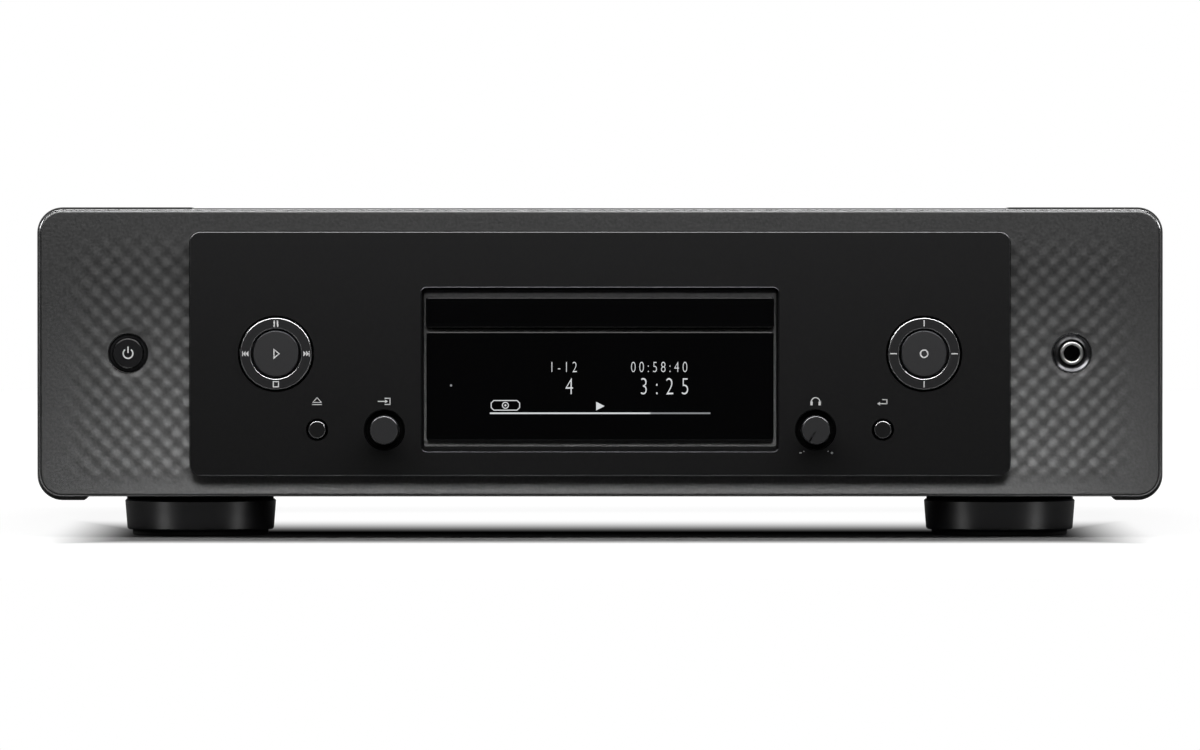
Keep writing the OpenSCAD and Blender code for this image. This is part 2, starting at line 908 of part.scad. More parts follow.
module center_panel() {
    color("#2a2b2d")
        difference() {
            translate([0, 0, mid_z])
                standing(panel_y, panel_t)
                    slab(panel_w, panel_h, panel_t, panel_r, f = panel_edge);
            translate([0, 0, window_z])
                standing(panel_y, bevel_d)
                    slab(window_w, window_h, bevel_d, window_r, c = window_bevel);
            translate([0, 0, window_z + window_sill / 2])
                standing(panel_y + past, panel_t)
                    linear_extrude(panel_t)
                        round_rect(open_w, open_h - window_sill, window_r - window_bevel);
            for (side = [-1, 1]) {
                edged_hole([side * ring_x, panel_y, mid_z], ring_hole_r, panel_t);
                edged_hole([side * small_x, panel_y, row_z], small_hole_r, panel_t);
                edged_hole([side * knob_x, panel_y, row_z], knob_hole_r, panel_t);
            }
        }
}

module display_window() {
    depth = panel_back - pane_y;
    color("#060607")
        translate([0, 0, pane_z])
            standing(pane_y, depth)
                slab(pane_w, pane_h, depth, 1, f = 0.4);
}

module display_module() {
    glass_d = panel_gap + frame_face - 1;
    color("#11161a") {
        box_back([0, face_back - glass_d, pane_z],
                 pane_w - 2 * pane_lap - 1, pane_h - 2 * pane_lap - 1, glass_d);
        box_back([0, face_back, pane_z], pane_w - 1, pane_h - 2, board_t);
    }
}

module front_subchassis() {
    color("#5b5d60")
        difference() {
            standing(frame_back, sheet)
                linear_extrude(sheet)
                    intersection() {
                        arch(inner_w - 2 * sheet, floor_z, roof_z - seat_gap, roof_bend);
                        trough(inner_w - 2 * sheet, floor_z, roof_z, chassis_bend - sheet);
                    }
            box([-mouth_w / 2, frame_back - past, mouth_low],
                [mouth_w / 2, inner_front + past, mouth_top]);
            box_back([power_x, frame_back - past, mid_z],
                     jack_body_w + 2 * jack_room, jack_body_w + 2 * jack_room, sheet + 2 * past);
            for (side = [-1, 1])
                box_back([side * cable_x, frame_back - past, floor_z + cable_rise],
                         cable_w, cable_h, sheet + 2 * past);
        }
}

// A push switch on a board, whose plunger reaches forward to y_tip
module push_switch(x, z, y_tip) {
    box_back([x, board_y - tact_h, z], tact_w, tact_w, tact_h);
    bar_back([x, y_tip, z], plunger_r, board_y - y_tip);
}

// A switch board: side is -1 or 1, with the switches of one ring and its button
module switch_board(side, w) {
    ring_tip = pivot_y + carrier_t / 2 + ring_switch_play;
    box_back([side * (board_in_x + w / 2), board_y, switch_board_low + switch_board_h / 2],
             w, switch_board_h, board_t);
    for (turn = [45:90:315])
        push_switch(side * ring_x + ring_switch_r * cos(turn), mid_z + ring_switch_r * sin(turn), ring_tip);
    push_switch(side * ring_x, mid_z, stem_tip + press_travel + switch_play);
    push_switch(side * small_x, row_z, stem_tip + press_travel + switch_play);
}

module left_switch_board() {
    color("#1f4a33") {
        switch_board(-1, left_board_w);
        push_switch(-power_x, mid_z, stem_tip + power_travel + switch_play);
    }
}

module right_switch_board() {
    color("#1f4a33")
        switch_board(1, right_board_w);
}

module power_button_ring() {
    color("#0d0d0e")
        turned_back([-power_x, 0, mid_z])
            polygon([
                [collar_r, face_y + 0.7],
                [collar_r + 0.6, face_y + 0.7],
                [collar_r + 0.6, face_y + 2],
                [power_hole_r - seat_gap, face_y + 2],
                [power_hole_r - seat_gap, face_back],
                [collar_r, face_back]
            ]);
}

module headphone_ring() {
    color("#8d8f92")
        turned_back([power_x, 0, mid_z])
            polygon([
                [power_hole_r - seat_gap - 0.4, face_y],
                [power_hole_r - seat_gap, face_y + 0.4],
                [power_hole_r - seat_gap, face_back],
                [jack_collar_r, face_back],
                [jack_collar_r, face_y + 1.2]
            ]);
}

module headphone_jack() {
    nose = face_back - jack_front;
    color("#b9bbbd")
        difference() {
            union() {
                turned_back([power_x, jack_front, mid_z])
                    soft_edge_tube(phones_bore_r, jack_nose_r, nose + past, 0.5);
                box_back([power_x, face_back, mid_z], jack_body_w, jack_body_w, jack_body_l);
            }
            bar_back([power_x, jack_front - past, mid_z],
                     phones_bore_r, nose + jack_body_l - 1 + past);
        }
}

// Section of a tube from depth 0 back, with its front edges rounded
module soft_edge_tube(r_in, r_out, depth, f) {
    translate([r_in, f])
        square([r_out - r_in, depth - f]);
    translate([r_in + f, 0])
        square([r_out - r_in - 2 * f, depth]);
    for (r = [r_in + f, r_out - f])
        translate([r, f])
            circle(f);
}

// Section of a solid cap from depth 0 back, with its front edge rounded
module soft_cap(r, depth, f) {
    translate([0, f])
        square([r, depth - f]);
    square([r - f, depth]);
    translate([r - f, f])
        circle(f);
}

// An encoder or potentiometer behind a knob
module rotary_control(x) {
    difference() {
        union() {
            box_back([x, control_y, row_z], control_body, control_body, control_d);
            bar_back([x, panel_back, row_z], bushing_r, control_y - panel_back + past);
        }
        bar_back([x, panel_back - past, row_z], shaft_r + pin_gap,
                 control_y + control_d - 2 - panel_back + past);
    }
}

module input_encoder() {
    color("#77797c")
        rotary_control(-knob_x);
}

module phones_pot() {
    color("#77797c")
        rotary_control(knob_x);
}

// A foot: a tapered disc on a neck, hollowed below for its pad and its screw
module foot(at) {
    low_r = foot_r - foot_taper / 2;
    edge = 0.6;
    translate([at.x, at.y, 0])
        rotate_extrude()
            polygon([
                [foot_bolt_r + seat_gap, foot_head_z],
                [foot_head_r + 0.5, foot_head_z],
                [foot_head_r + 0.5, pad_t + pad_sink],
                [pad_r + seat_gap, pad_t + pad_sink],
                [pad_r + seat_gap, pad_t],
                [low_r - edge, pad_t],
                [low_r, pad_t + edge],
                [foot_r, foot_top - edge],
                [foot_r - edge, foot_top],
                [foot_neck_r, foot_top],
                [foot_neck_r, chassis_low],
                [foot_bolt_r + seat_gap, chassis_low]
            ]);
}

module front_feet() {
    color("#191a1b")
        for (f = FRONT_FEET)
            foot(f);
}

module rear_feet() {
    color("#191a1b")
        for (f = REAR_FEET)
            foot(f);
}

module foot_pads() {
    color("#0b0b0b")
        for (f = concat(FRONT_FEET, REAR_FEET))
            translate([f.x, f.y, 0])
                rotate_extrude()
                    polygon([
                        [pad_in_r, 0], [pad_r - 0.5, 0], [pad_r, 0.5],
                        [pad_r, pad_t + pad_sink], [pad_in_r, pad_t + pad_sink]
                    ]);
}

module foot_screws() {
    color("#8d8f92")
        for (f = concat(FRONT_FEET, REAR_FEET))
            translate([f.x, f.y, foot_head_z]) {
                translate([0, 0, -2.5])
                    cylinder(r = foot_head_r, h = 2.5);
                cylinder(r = foot_bolt_r, h = floor_z + 3 - foot_head_z);
            }
}

// A screw that is driven along +Z, with the inner face of its head at the origin
module case_screw() {
    cylinder(r = screw_shank_r, h = screw_len);
    translate([0, 0, -screw_head_t])
        rotate_extrude()
            soft_cap(screw_head_r, screw_head_t, 0.7);
}

module case_screws() {
    color("#1a1a1b") {
        for (side = [-1, 1], y = SIDE_SCREW_Y)
            translate([side * cover_w / 2, y, side_screw_z])
                rotate([0, -90 * side, 0])
                    case_screw();
        for (x = REAR_SCREW_X)
            translate([x, rear_y + sheet, rear_screw_z])
                rotate([90, 0, 0])
                    case_screw();
    }
}

module toroidal_transformer() {
    color("#b3a06a")
        translate([transformer_x, transformer_y, floor_z])
            rotate_extrude()
                translate([(transformer_r + transformer_hole) / 2, transformer_h / 2])
                    round_rect(transformer_r - transformer_hole, transformer_h, transformer_round);
}

module transformer_clamp() {
    color("#8d8f92")
        translate([transformer_x, transformer_y, floor_z]) {
            translate([0, 0, transformer_h])
                cylinder(r = washer_r, h = washer_t);
            translate([0, 0, -sheet])
                cylinder(r = clamp_bolt_r, h = transformer_h + sheet + washer_t + past);
            translate([0, 0, transformer_h + washer_t])
                cylinder(r = clamp_nut_r, h = clamp_nut_h, $fn = 6);
        }
}

// A board on its standoffs
module board(b) {
    translate([b[0] - b[2] / 2, b[1] - b[3] / 2, board_z])
        cube([b[2], b[3], board_t]);
}

// A block c on a board b: its place from the board's middle, its width, length and height
module chip(b, c) {
    translate([b[0] + c[0] - c[2] / 2, b[1] + c[1] - c[3] / 2, board_top])
        cube([c[2], c[3], c[4]]);
}

module power_supply_board() {
    b = BOARDS[0];
    color("#2c5a3a") {
        board(b);
        for (c = SUPPLY_CHIPS)
            chip(b, c);
        for (i = [0:3])
            chip(b, [regulator_in - b[2] / 2, regulator_y + regulator_pitch * i, 5, 11, 16]);
    }
}

module smoothing_capacitors() {
    b = BOARDS[0];
    a = BOARDS[2];
    color("#20242c") {
        for (i = [0:1], j = [0:1])
            translate([b[0] - can_pitch + can_pitch * i, b[1] + can_y + can_pitch * j, board_top])
                cylinder(r = can_r, h = can_h);
        for (side = [-1, 1], j = [0:3])
            translate([a[0] + side * audio_can_x, a[1] + audio_can_y + audio_can_pitch * j, board_top])
                cylinder(r = audio_can_r, h = audio_can_h);
    }
}

module main_board() {
    b = BOARDS[1];
    color("#1f4a33") {
        board(b);
        for (c = MAIN_CHIPS)
            chip(b, c);
    }
}

module audio_board() {
    b = BOARDS[2];
    color("#1f4a33") {
        board(b);
        for (c = AUDIO_CHIPS)
            chip(b, c);
        for (side = [-1, 1], j = [0:2])
            chip(b, [side * relay_x, relay_y + relay_pitch * j, 24, 12, 10]);
    }
}

module mains_inlet() {
    flange = 1.5;
    color("#101011") {
        difference() {
            union() {
                box_back([-inlet_x, rear_in - inlet_d + sheet, port_z], inlet_w, inlet_h, inlet_d);
                box_back([-inlet_x, rear_y, port_z], inlet_w + 4, inlet_h + 4, flange);
            }
            box_back([-inlet_x, rear_y + flange - inlet_space_d, port_z],
                     inlet_space_w, inlet_space_h, inlet_space_d + past);
        }
        for (side = [-1, 1])
            box_back([-inlet_x + side * inlet_pin_x, rear_in - inlet_d + sheet + past, port_z],
                     2, 4, inlet_d - 3);
    }
}

// A phono jack: a sleeve with a contact hole, and its body inside the case
module phono_jack(x, z) {
    difference() {
        union() {
            box_back([x, rear_in - phono_body, z], phono_body, phono_body, phono_body);
            bar_back([x, rear_in - past, z], phono_base_r, sheet + 1.5 + past);
            translate([x, rear_y + jack_stand, z])
                rotate([90, 0, 0])
                    rotate_extrude()
                        soft_cap(phono_r, jack_stand + sheet, 0.4);
        }
        bar_back([x, rear_y - 4, z], phono_contact_r, jack_stand + 4 + past);
    }
}

module phono_jacks() {
    color("#c9ccd0")
        for (x = phono_x, z = SOCKET_ROWS)
            phono_jack(x, z);
}

module optical_sockets() {
    color("#141415")
        for (z = SOCKET_ROWS)
            difference() {
                box_back([optical_x, rear_in - optical_d, z],
                         optical_w, optical_w, optical_d + sheet + 0.8);
                box_back([optical_x, rear_in - optical_d + 3, z],
                         optical_space, optical_space, optical_d + sheet + past);
            }
}

module data_ports() {
    color("#b3b5b8")
        for (p = PORTS) {
            difference() {
                box_back([p[0], rear_in - port_d, port_z], p[1], p[2], port_d + sheet + 1);
                box_back([p[0], rear_in - port_d + 2, port_z],
                         p[1] - 2 * port_wall, p[2] - 2 * port_wall, port_d + sheet + past);
            }
            tongue_w = p[1] - 5;
            tongue_t = 1.8;
            box_back([p[0], rear_in - port_d + 1, port_z + p[2] / 2 - port_wall - 1.9],
                     tongue_w, tongue_t, port_d - 4);
        }
}

module aerial_sockets() {
    color("#c2a256")
        for (side = [-1, 1]) {
            bar_back([side * aerial_x, rear_in - aerial_tail, aerial_z], aerial_r,
                     aerial_tail + sheet + aerial_stand);
            translate([side * aerial_x, rear_y, aerial_z])
                rotate([-90, 0, 0])
                    cylinder(r = aerial_nut_r, h = aerial_nut_h, $fn = 6);
            bar_back([side * aerial_x, rear_in - aerial_flange_t, aerial_z], aerial_flange_r, aerial_flange_t);
        }
}

// Rails that the tray runs between: side is -1 or 1
module loader_side(side) {
    in_x = loader_in_x;
    mirror([side < 0 ? 1 : 0, 0, 0]) {
        box([in_x, loader_y, loader_floor], [loader_out_x, loader_end, wall_top]);
        box([in_x - ledge_w, loader_y, tray_low - run_gap - ledge_h],
            [in_x + past, loader_end, tray_low - run_gap]);
        box([in_x - ledge_w, loader_y, tray_top + run_gap],
            [in_x + past, loader_end, tray_top + run_gap + lip_h_tray]);
    }
}

module loader_base() {
    color("#26272a")
        difference() {
            union() {
                box([-loader_out_x, loader_y, loader_floor],
                    [loader_out_x, loader_end, loader_deck]);
                for (side = [-1, 1])
                    loader_side(side);
                box([-loader_out_x, loader_end - 3, loader_floor],
                    [loader_out_x, loader_end, tray_low - run_gap]);
                for (p = PILLARS)
                    translate([p.x, p.y, loader_floor])
                        cylinder(r = pillar_r, h = traverse_top + lift + 1.5 - loader_floor);
                translate([gear_x, gear_y, loader_floor])
                    cylinder(r = gear_post_r, h = gear_top - 0.2 - loader_floor);
                for (side = [-1, 1], y = [loader_y + 8, loader_end - 8])
                    translate([side * (loader_out_x - 6), y, floor_z])
                        cylinder(r = leg_r, h = loader_floor - floor_z + past);
            }
            box([-rod_x, spindle_y - 8, loader_floor - past],
                [rod_x, spindle_y + 70, loader_deck + past]);
            translate([motor_x, motor_y, loader_floor - past])
                cylinder(r = motor_shaft_r + 0.4, h = loader_floor_t + 2 * past);
        }
}

module clamp_bridge() {
    color("#5b5d60")
        difference() {
            box([-loader_out_x, spindle_y - bridge_half, wall_top],
                [loader_out_x, spindle_y + bridge_half, wall_top + bridge_t]);
            translate([0, spindle_y, wall_top - past])
                cylinder(r = clamper_hole_r, h = bridge_t + 2 * past);
        }
}

module loading_motor() {
    color("#a4a7ab")
        difference() {
            translate([motor_x, motor_y, loader_floor - motor_l])
                cylinder(r = motor_r, h = motor_l);
            translate([motor_x, motor_y, loader_floor - 12])
                cylinder(r = motor_shaft_r + pin_gap, h = 12 + past);
        }
}

// The belt's line round two pulleys: r1 at the origin, r2 at the distance d along x
module belt_line(d, r1, r2) {
    rise = 90 - asin((r1 - r2) / d);
    polygon(concat(
        [for (k = [0:belt_steps]) polar(r1, rise + (360 - 2 * rise) * k / belt_steps)],
        [for (k = [0:belt_steps]) [d, 0] + polar(r2, -rise + 2 * rise * k / belt_steps)]
    ));
}

module drive_belt() {
    run = [motor_x - gear_x, motor_y - gear_y];
    gap = 0.08;
    color("#0c0c0d")
        translate([gear_x, gear_y, pulley_low + pulley_flange + (groove_h - belt_h) / 2])
            rotate(atan2(run.y, run.x))
                difference() {
                    linear_extrude(belt_h)
                        belt_line(norm(run), pulley_r + gap + belt_t, motor_pulley_r + gap + belt_t);
                    translate([0, 0, -past])
                        linear_extrude(belt_h + 2 * past)
                            belt_line(norm(run), pulley_r + gap, motor_pulley_r + gap);
                }
}

// Section of a grooved pulley from the axis outwards
module pulley_section(r, bore) {
    h = groove_h + 2 * pulley_flange;
    translate([bore, 0])
        square([r - bore, h]);
    for (z = [0, h - pulley_flange])
        translate([bore, z])
            square([r + 1 - bore, pulley_flange]);
}

// Involute tooth flank: a point at radius r, as an angle from the tooth's middle
function involute(r, base) = r <= base ? 0 : let(a = acos(base / r)) tan(a) * 180 / PI - a;
function flank(r, base, half) = half + involute(gear_pitch_r, base) - involute(r, base);

module gear_outline() {
    base = gear_pitch_r * cos(pressure);
    half = 90 / gear_teeth - tooth_play / 2 / gear_pitch_r * 180 / PI;
    low = gear_pitch_r - tooth_ded;
    high = gear_pitch_r + tooth_add;
    steps = 4;
    side = [for (k = [0:steps]) max(low, base) + (high - max(low, base)) * k / steps];
    polygon([
        for (t = [0:gear_teeth - 1])
            let(mid = 180 + 360 * t / gear_teeth)
                each concat(
                    [polar(low, mid - flank(low, base, half) - 1)],
                    [for (r = side) polar(r, mid - flank(r, base, half))],
                    [for (k = [0:steps]) let(r = side[steps - k]) polar(r, mid + flank(r, base, half))],
                    [polar(low, mid + flank(low, base, half) + 1)]
                )
    ]);
}

function polar(r, a) = [r * cos(a), r * sin(a)];

module loading_gear() {
    color("#d9d6cc")
        translate([gear_x, gear_y, 0])
            difference() {
                union() {
                    translate([0, 0, gear_low])
                        linear_extrude(gear_top - gear_low)
                            gear_outline();
                    translate([0, 0, pulley_low])
                        cylinder(r = gear_sleeve_r, h = gear_low - pulley_low + past);
                    translate([0, 0, pulley_low])
                        rotate_extrude()
                            pulley_section(pulley_r, gear_post_r + pin_gap);
                }
                translate([0, 0, pulley_low - past])
                    cylinder(r = gear_post_r + pin_gap, h = gear_top - pulley_low + 2 * past);
            }
}

module motor_pulley() {
    color("#d9d6cc")
        translate([motor_x, motor_y, 0]) {
            translate([0, 0, pulley_low])
                rotate_extrude()
                    pulley_section(motor_pulley_r, 0);
            translate([0, 0, loader_floor - 11])
                cylinder(r = motor_shaft_r, h = pulley_low + past - loader_floor + 11);
        }
}

// The rack's teeth, as an outline that runs along y
module rack_outline(y0, y1) {
    half = rack_pitch / 4 - tooth_play / 4;
    tip = half - tooth_add * tan(pressure);
    root = half + tooth_ded * tan(pressure);
    count = floor((y1 - y0) / rack_pitch) - 1;
    first = gear_y + rack_pitch / 2 - rack_pitch * floor((gear_y - y0) / rack_pitch - 0.5);
    translate([rack_x - rack_w, y0])
        square([rack_w - tooth_ded, y1 - y0]);
    for (k = [0:count - 1])
        translate([rack_x, first + k * rack_pitch])
            polygon([
                [-tooth_ded - 0.2, -root], [-tooth_ded, -root], [tooth_add, -tip],
                [tooth_add, tip], [-tooth_ded, root], [-tooth_ded - 0.2, root]
            ]);
}

module disc_tray() {
    half = tray_w / 2;
    rack_y0 = gear_y - 4 * rack_pitch;
    rack_y1 = gear_y + tray_travel + 4 * rack_pitch;
    color("#1d1e20")
        difference() {
            union() {
                box([-half, tray_y, tray_low], [half, tray_end, tray_top]);
                translate([0, 0, rack_low])
                    linear_extrude(rack_t + past)
                        rack_outline(rack_y0, rack_y1);
            }
            translate([0, spindle_y, disc_floor])
                cylinder(r = disc_r, h = disc_depth + past);
            translate([0, spindle_y, disc_floor - small_disc_step])
                cylinder(r = small_disc_r, h = disc_depth + past);
            translate([0, spindle_y, rack_low - past])
                cylinder(r = slot_half, h = tray_h + rack_t + 2 * past);
            box([-slot_half, spindle_y, rack_low - past],
                [slot_half, tray_end + past, tray_top + past]);
            box([-half + rail_w, spindle_y + disc_r / 2, rear_deck],
                [half - rail_w, tray_end + past, tray_top + past]);
        }
}

module tray_front() {
    color("#070708")
        translate([0, 0, tray_z])
            standing(pane_y, tray_front_t)
                slab(tray_front_w, tray_front_h, tray_front_t, 1, f = 0.5);
}

module traverse_base() {
    lug_out_x = rod_x + rod_r + lug_wall;
    lug_in_x = rod_x - rod_r - lug_wall;
    lug_low = rod_z - rod_r - lug_wall;
    color("#6a6c70")
        difference() {
            union() {
                box([-traverse_half, traverse_y, traverse_low],
                    [traverse_half, traverse_end, traverse_top]);
                for (side = [-1, 1], y = [rod_y, rod_end - lug_t])
                    mirror([side < 0 ? 1 : 0, 0, 0])
                        box([lug_in_x, y, lug_low], [lug_out_x, y + lug_t, traverse_low + past]);
                for (y = [rod_y + lug_t, screw_end])
                    box([screw_x - screw_lug, y, rod_z - screw_lug],
                        [screw_x + screw_lug, y + lug_t, traverse_low + past]);
            }
            translate([0, spindle_y, traverse_low - past])
                cylinder(r = hub_hole_r, h = traverse_t + 2 * past);
            box([-turret_w / 2 - turret_gap, lens_y - turret_l / 2 - turret_gap, traverse_low - past],
                [turret_w / 2 + turret_gap, lens_y + sled_travel + turret_l / 2 + turret_gap,
                 traverse_top + past]);
            for (p = PILLARS)
                translate([p.x, p.y, traverse_low - past])
                    cylinder(r = pillar_r + pin_gap, h = traverse_t + 2 * past);
            for (side = [-1, 1])
                bar_back([side * rod_x, rod_y - past, rod_z], rod_r + pin_gap,
                         rod_end - rod_y + 2 * past);
            bar_back([screw_x, rod_y + lug_t - past, rod_z], screw_r + pin_gap,
                     screw_end - rod_y + 2 * past);
        }
}

module spindle_motor() {
    color("#a4a7ab")
        translate([0, spindle_y, traverse_low - spindle_motor_h])
            difference() {
                cylinder(r = spindle_motor_r, h = spindle_motor_h);
                translate([0, 0, 1])
                    cylinder(r = spindle_shaft_r + pin_gap, h = spindle_motor_h);
            }
}

module guide_rods() {
    color("#d0d2d5")
        for (side = [-1, 1])
            bar_back([side * rod_x, rod_y, rod_z], rod_r, rod_end - rod_y);
}

module sled_motor() {
    color("#a4a7ab")
        bar_back([screw_x, screw_end + lug_t, rod_z], sled_motor_r, sled_motor_l);
}

module turntable() {
    shaft_low = traverse_low - spindle_motor_h + shaft_seat;
    color("#2b2c2f")
        translate([0, spindle_y, 0]) {
            translate([0, 0, shaft_low])
                cylinder(r = spindle_shaft_r, h = hub_seat - shaft_low);
            translate([0, 0, traverse_low + run_gap])
                cylinder(r = hub_neck_r, h = hub_seat - traverse_low - run_gap);
            translate([0, 0, hub_seat - hub_t])
                cylinder(r = turntable_r, h = hub_t);
            translate([0, 0, hub_seat - past])
                cylinder(r = boss_r, h = boss_h - boss_edge + past);
            translate([0, 0, hub_seat + boss_h - boss_edge])
                cylinder(r1 = boss_r, r2 = boss_r - boss_lead, h = boss_edge);
        }
}

module optical_pickup() {
    side_x = rod_x + rod_r + sleeve_wall;
    color("#3f4245")
        difference() {
            union() {
                box([-side_x, lens_y - sled_half, rod_z - sled_h / 2],
                    [side_x, lens_y + sled_half, rod_z + sled_h / 2]);
                box([side_x - past, lens_y - nut_half, rod_z - screw_r - nut_wall],
                    [screw_x + screw_r + nut_wall, lens_y + nut_half, rod_z + screw_r + nut_wall]);
                box([-turret_w / 2, lens_y - turret_l / 2, rod_z],
                    [turret_w / 2, lens_y + turret_l / 2, lens_top - 1.8]);
                translate([0, lens_y, rod_z])
                    cylinder(r = lens_r, h = lens_top - rod_z);
            }
            for (side = [-1, 1])
                bar_back([side * rod_x, lens_y - sled_half - past, rod_z], rod_r + pin_gap,
                         2 * sled_half + 2 * past);
            bar_back([screw_x, lens_y - nut_half - past, rod_z], screw_r + pin_gap,
                     2 * nut_half + 2 * past);
        }
}

module lead_screw() {
    color("#d0d2d5")
        bar_back([screw_x, rod_y + lug_t, rod_z], screw_r, screw_end - end_play - rod_y);
}

module clamper() {
    flange_low = wall_top + bridge_t + end_play;
    flange_top = flange_low + clamper_flange_t;
    boss_roof = clamper_low + boss_h + boss_room;
    color("#2b2c2f")
        translate([0, spindle_y, 0])
            rotate_extrude()
                polygon([
                    [0, boss_roof],
                    [boss_r + boss_room, boss_roof],
                    [boss_r + boss_room, clamper_low],
                    [clamper_r, clamper_low],
                    [clamper_r, flange_low],
                    [clamper_flange_r, flange_low],
                    [clamper_flange_r - clamper_edge, flange_top],
                    [0, flange_top]
                ]);
}

module power_button() {
    color("#0d0d0e") {
        turned_back([-power_x, face_y - 0.6, mid_z])
            soft_cap(power_r, frame_face + 0.6 + run_gap + past, 0.5);
        bar_back([-power_x, face_back + run_gap, mid_z], power_flange_r, 1.2);
        bar_back([-power_x, face_back, mid_z], 2, stem_tip - face_back);
    }
}

// The button in the middle of a ring
module ring_button(x) {
    cap_d = panel_back - panel_y + button_proud - 1;
    turned_back([x, panel_y - button_proud, mid_z])
        soft_cap(button_r, cap_d, 0.7);
    bar_back([x, panel_y, mid_z], button_stem_r, stem_tip - panel_y);
}

module play_button() {
    color("#3a3b3d")
        ring_button(-ring_x);
}

module enter_button() {
    color("#3a3b3d")
        ring_button(ring_x);
}

// A ring with two lugs behind it that turn on the carrier's upright pins
module control_ring(x) {
    difference() {
        union() {
            turned_back([x, panel_y - ring_proud, mid_z])
                soft_edge_tube(ring_in_r, ring_r, ring_back - panel_y + ring_proud, 0.5);
            for (side = [-1, 1])
                translate([x, 0, mid_z])
                    mirror([0, 0, side < 0 ? 1 : 0])
                        box([-lug_w / 2, ring_back - past, lug_in],
                            [lug_w / 2, pivot_y + carrier_t / 2, lug_out - 0.4]);
        }
        translate([x, pivot_y, mid_z])
            cylinder(r = pivot_r + pin_gap, h = 2 * ring_r, center = true);
    }
}

module transport_ring() {
    color("#2c2d2f")
        control_ring(-ring_x);
}

module cursor_ring() {
    color("#2c2d2f")
        control_ring(ring_x);
}

// The frame behind a ring: side pins in the front frame, upright pins in the ring
module ring_carrier(x) {
    translate([x, pivot_y, mid_z])
        difference() {
            union() {
                intersection() {
                    bar_back([0, -carrier_t / 2, 0], carrier_r, carrier_t);
                    box_back([0, -carrier_t, 0], 2 * carrier_r, 2 * (lug_in - run_gap), 2 * carrier_t);
                }
                rotate([0, 90, 0])
                    cylinder(r = pivot_r, h = 2 * pivot_reach, center = true);
                cylinder(r = pivot_r, h = 2 * (lug_out - 0.5), center = true);
            }
            bar_back([0, -carrier_t, 0], carrier_bore_r, 2 * carrier_t);
        }
}

module transport_ring_carrier() {
    color("#8d8f92")
        ring_carrier(-ring_x);
}

module cursor_ring_carrier() {
    color("#8d8f92")
        ring_carrier(ring_x);
}

// A small button with a flange that keeps it behind the frame
module small_button(x) {
    cap_d = face_back - panel_y + small_proud + run_gap + past;
    turned_back([x, panel_y - small_proud, row_z])
        soft_cap(small_r, cap_d, 0.4);
    bar_back([x, face_back + run_gap, row_z], small_flange_r, 1.2);
    bar_back([x, face_back, row_z], 1.5, stem_tip - face_back);
}

module eject_button() {
    color("#3a3b3d")
        small_button(-small_x);
}

module back_button() {
    color("#3a3b3d")
        small_button(small_x);
}

// A knob with its shaft, which turns in the control behind it
module knob(x) {
    turned_back([x, knob_y, row_z])
        soft_cap(knob_r, knob_back - knob_y, 0.6);
    bar_back([x, knob_y + 2, row_z], shaft_r, control_y + control_d - 3 - knob_y - 2);
}

module input_knob() {
    color("#303133")
        knob(-knob_x);
}

module phones_knob() {
    color("#303133")
        difference() {
            knob(knob_x);
            translate([knob_x, knob_y - past, row_z])
                rotate([0, -60, 0])
                    translate([-knob_r - past, 0, -index_w / 2])
                        cube([knob_r, past + 0.5, index_w]);
        }
}

bottom_chassis();
rear_panel();
top_cover();
front_frame();
center_panel();
display_window();
display_module();
front_subchassis();
left_switch_board();
right_switch_board();
power_button_ring();
headphone_ring();
headphone_jack();
input_encoder();
phones_pot();
front_feet();
rear_feet();
foot_pads();
foot_screws();
case_screws();
toroidal_transformer();
transformer_clamp();
power_supply_board();
smoothing_capacitors();
main_board();
audio_board();
mains_inlet();
phono_jacks();
optical_sockets();
data_ports();
aerial_sockets();
loader_base();
clamp_bridge();
loading_motor();
drive_belt();
disc_tray();
tray_front();
loading_gear();
motor_pulley();
traverse_base();
spindle_motor();
guide_rods();
sled_motor();
turntable();
optical_pickup();
lead_screw();
clamper();
power_button();
play_button();
transport_ring();
transport_ring_carrier();
eject_button();
input_knob();
phones_knob();
enter_button();
cursor_ring();
cursor_ring_carrier();
back_button();
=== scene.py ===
# %% [markdown]
# # Dressing a disc player
# The solids of this player come from its CAD model: a wide front frame, a plate that
# floats ahead of it, a steel case and a tray. This lesson gives them their finishes. It adds
# the soft relief of the two wings, thin trim, felt, printed marks, the lit display and
# the screws, and then it sets up the studio. Everything is in metres, and the front faces -Y.

# %% Load the solids
import json
import math

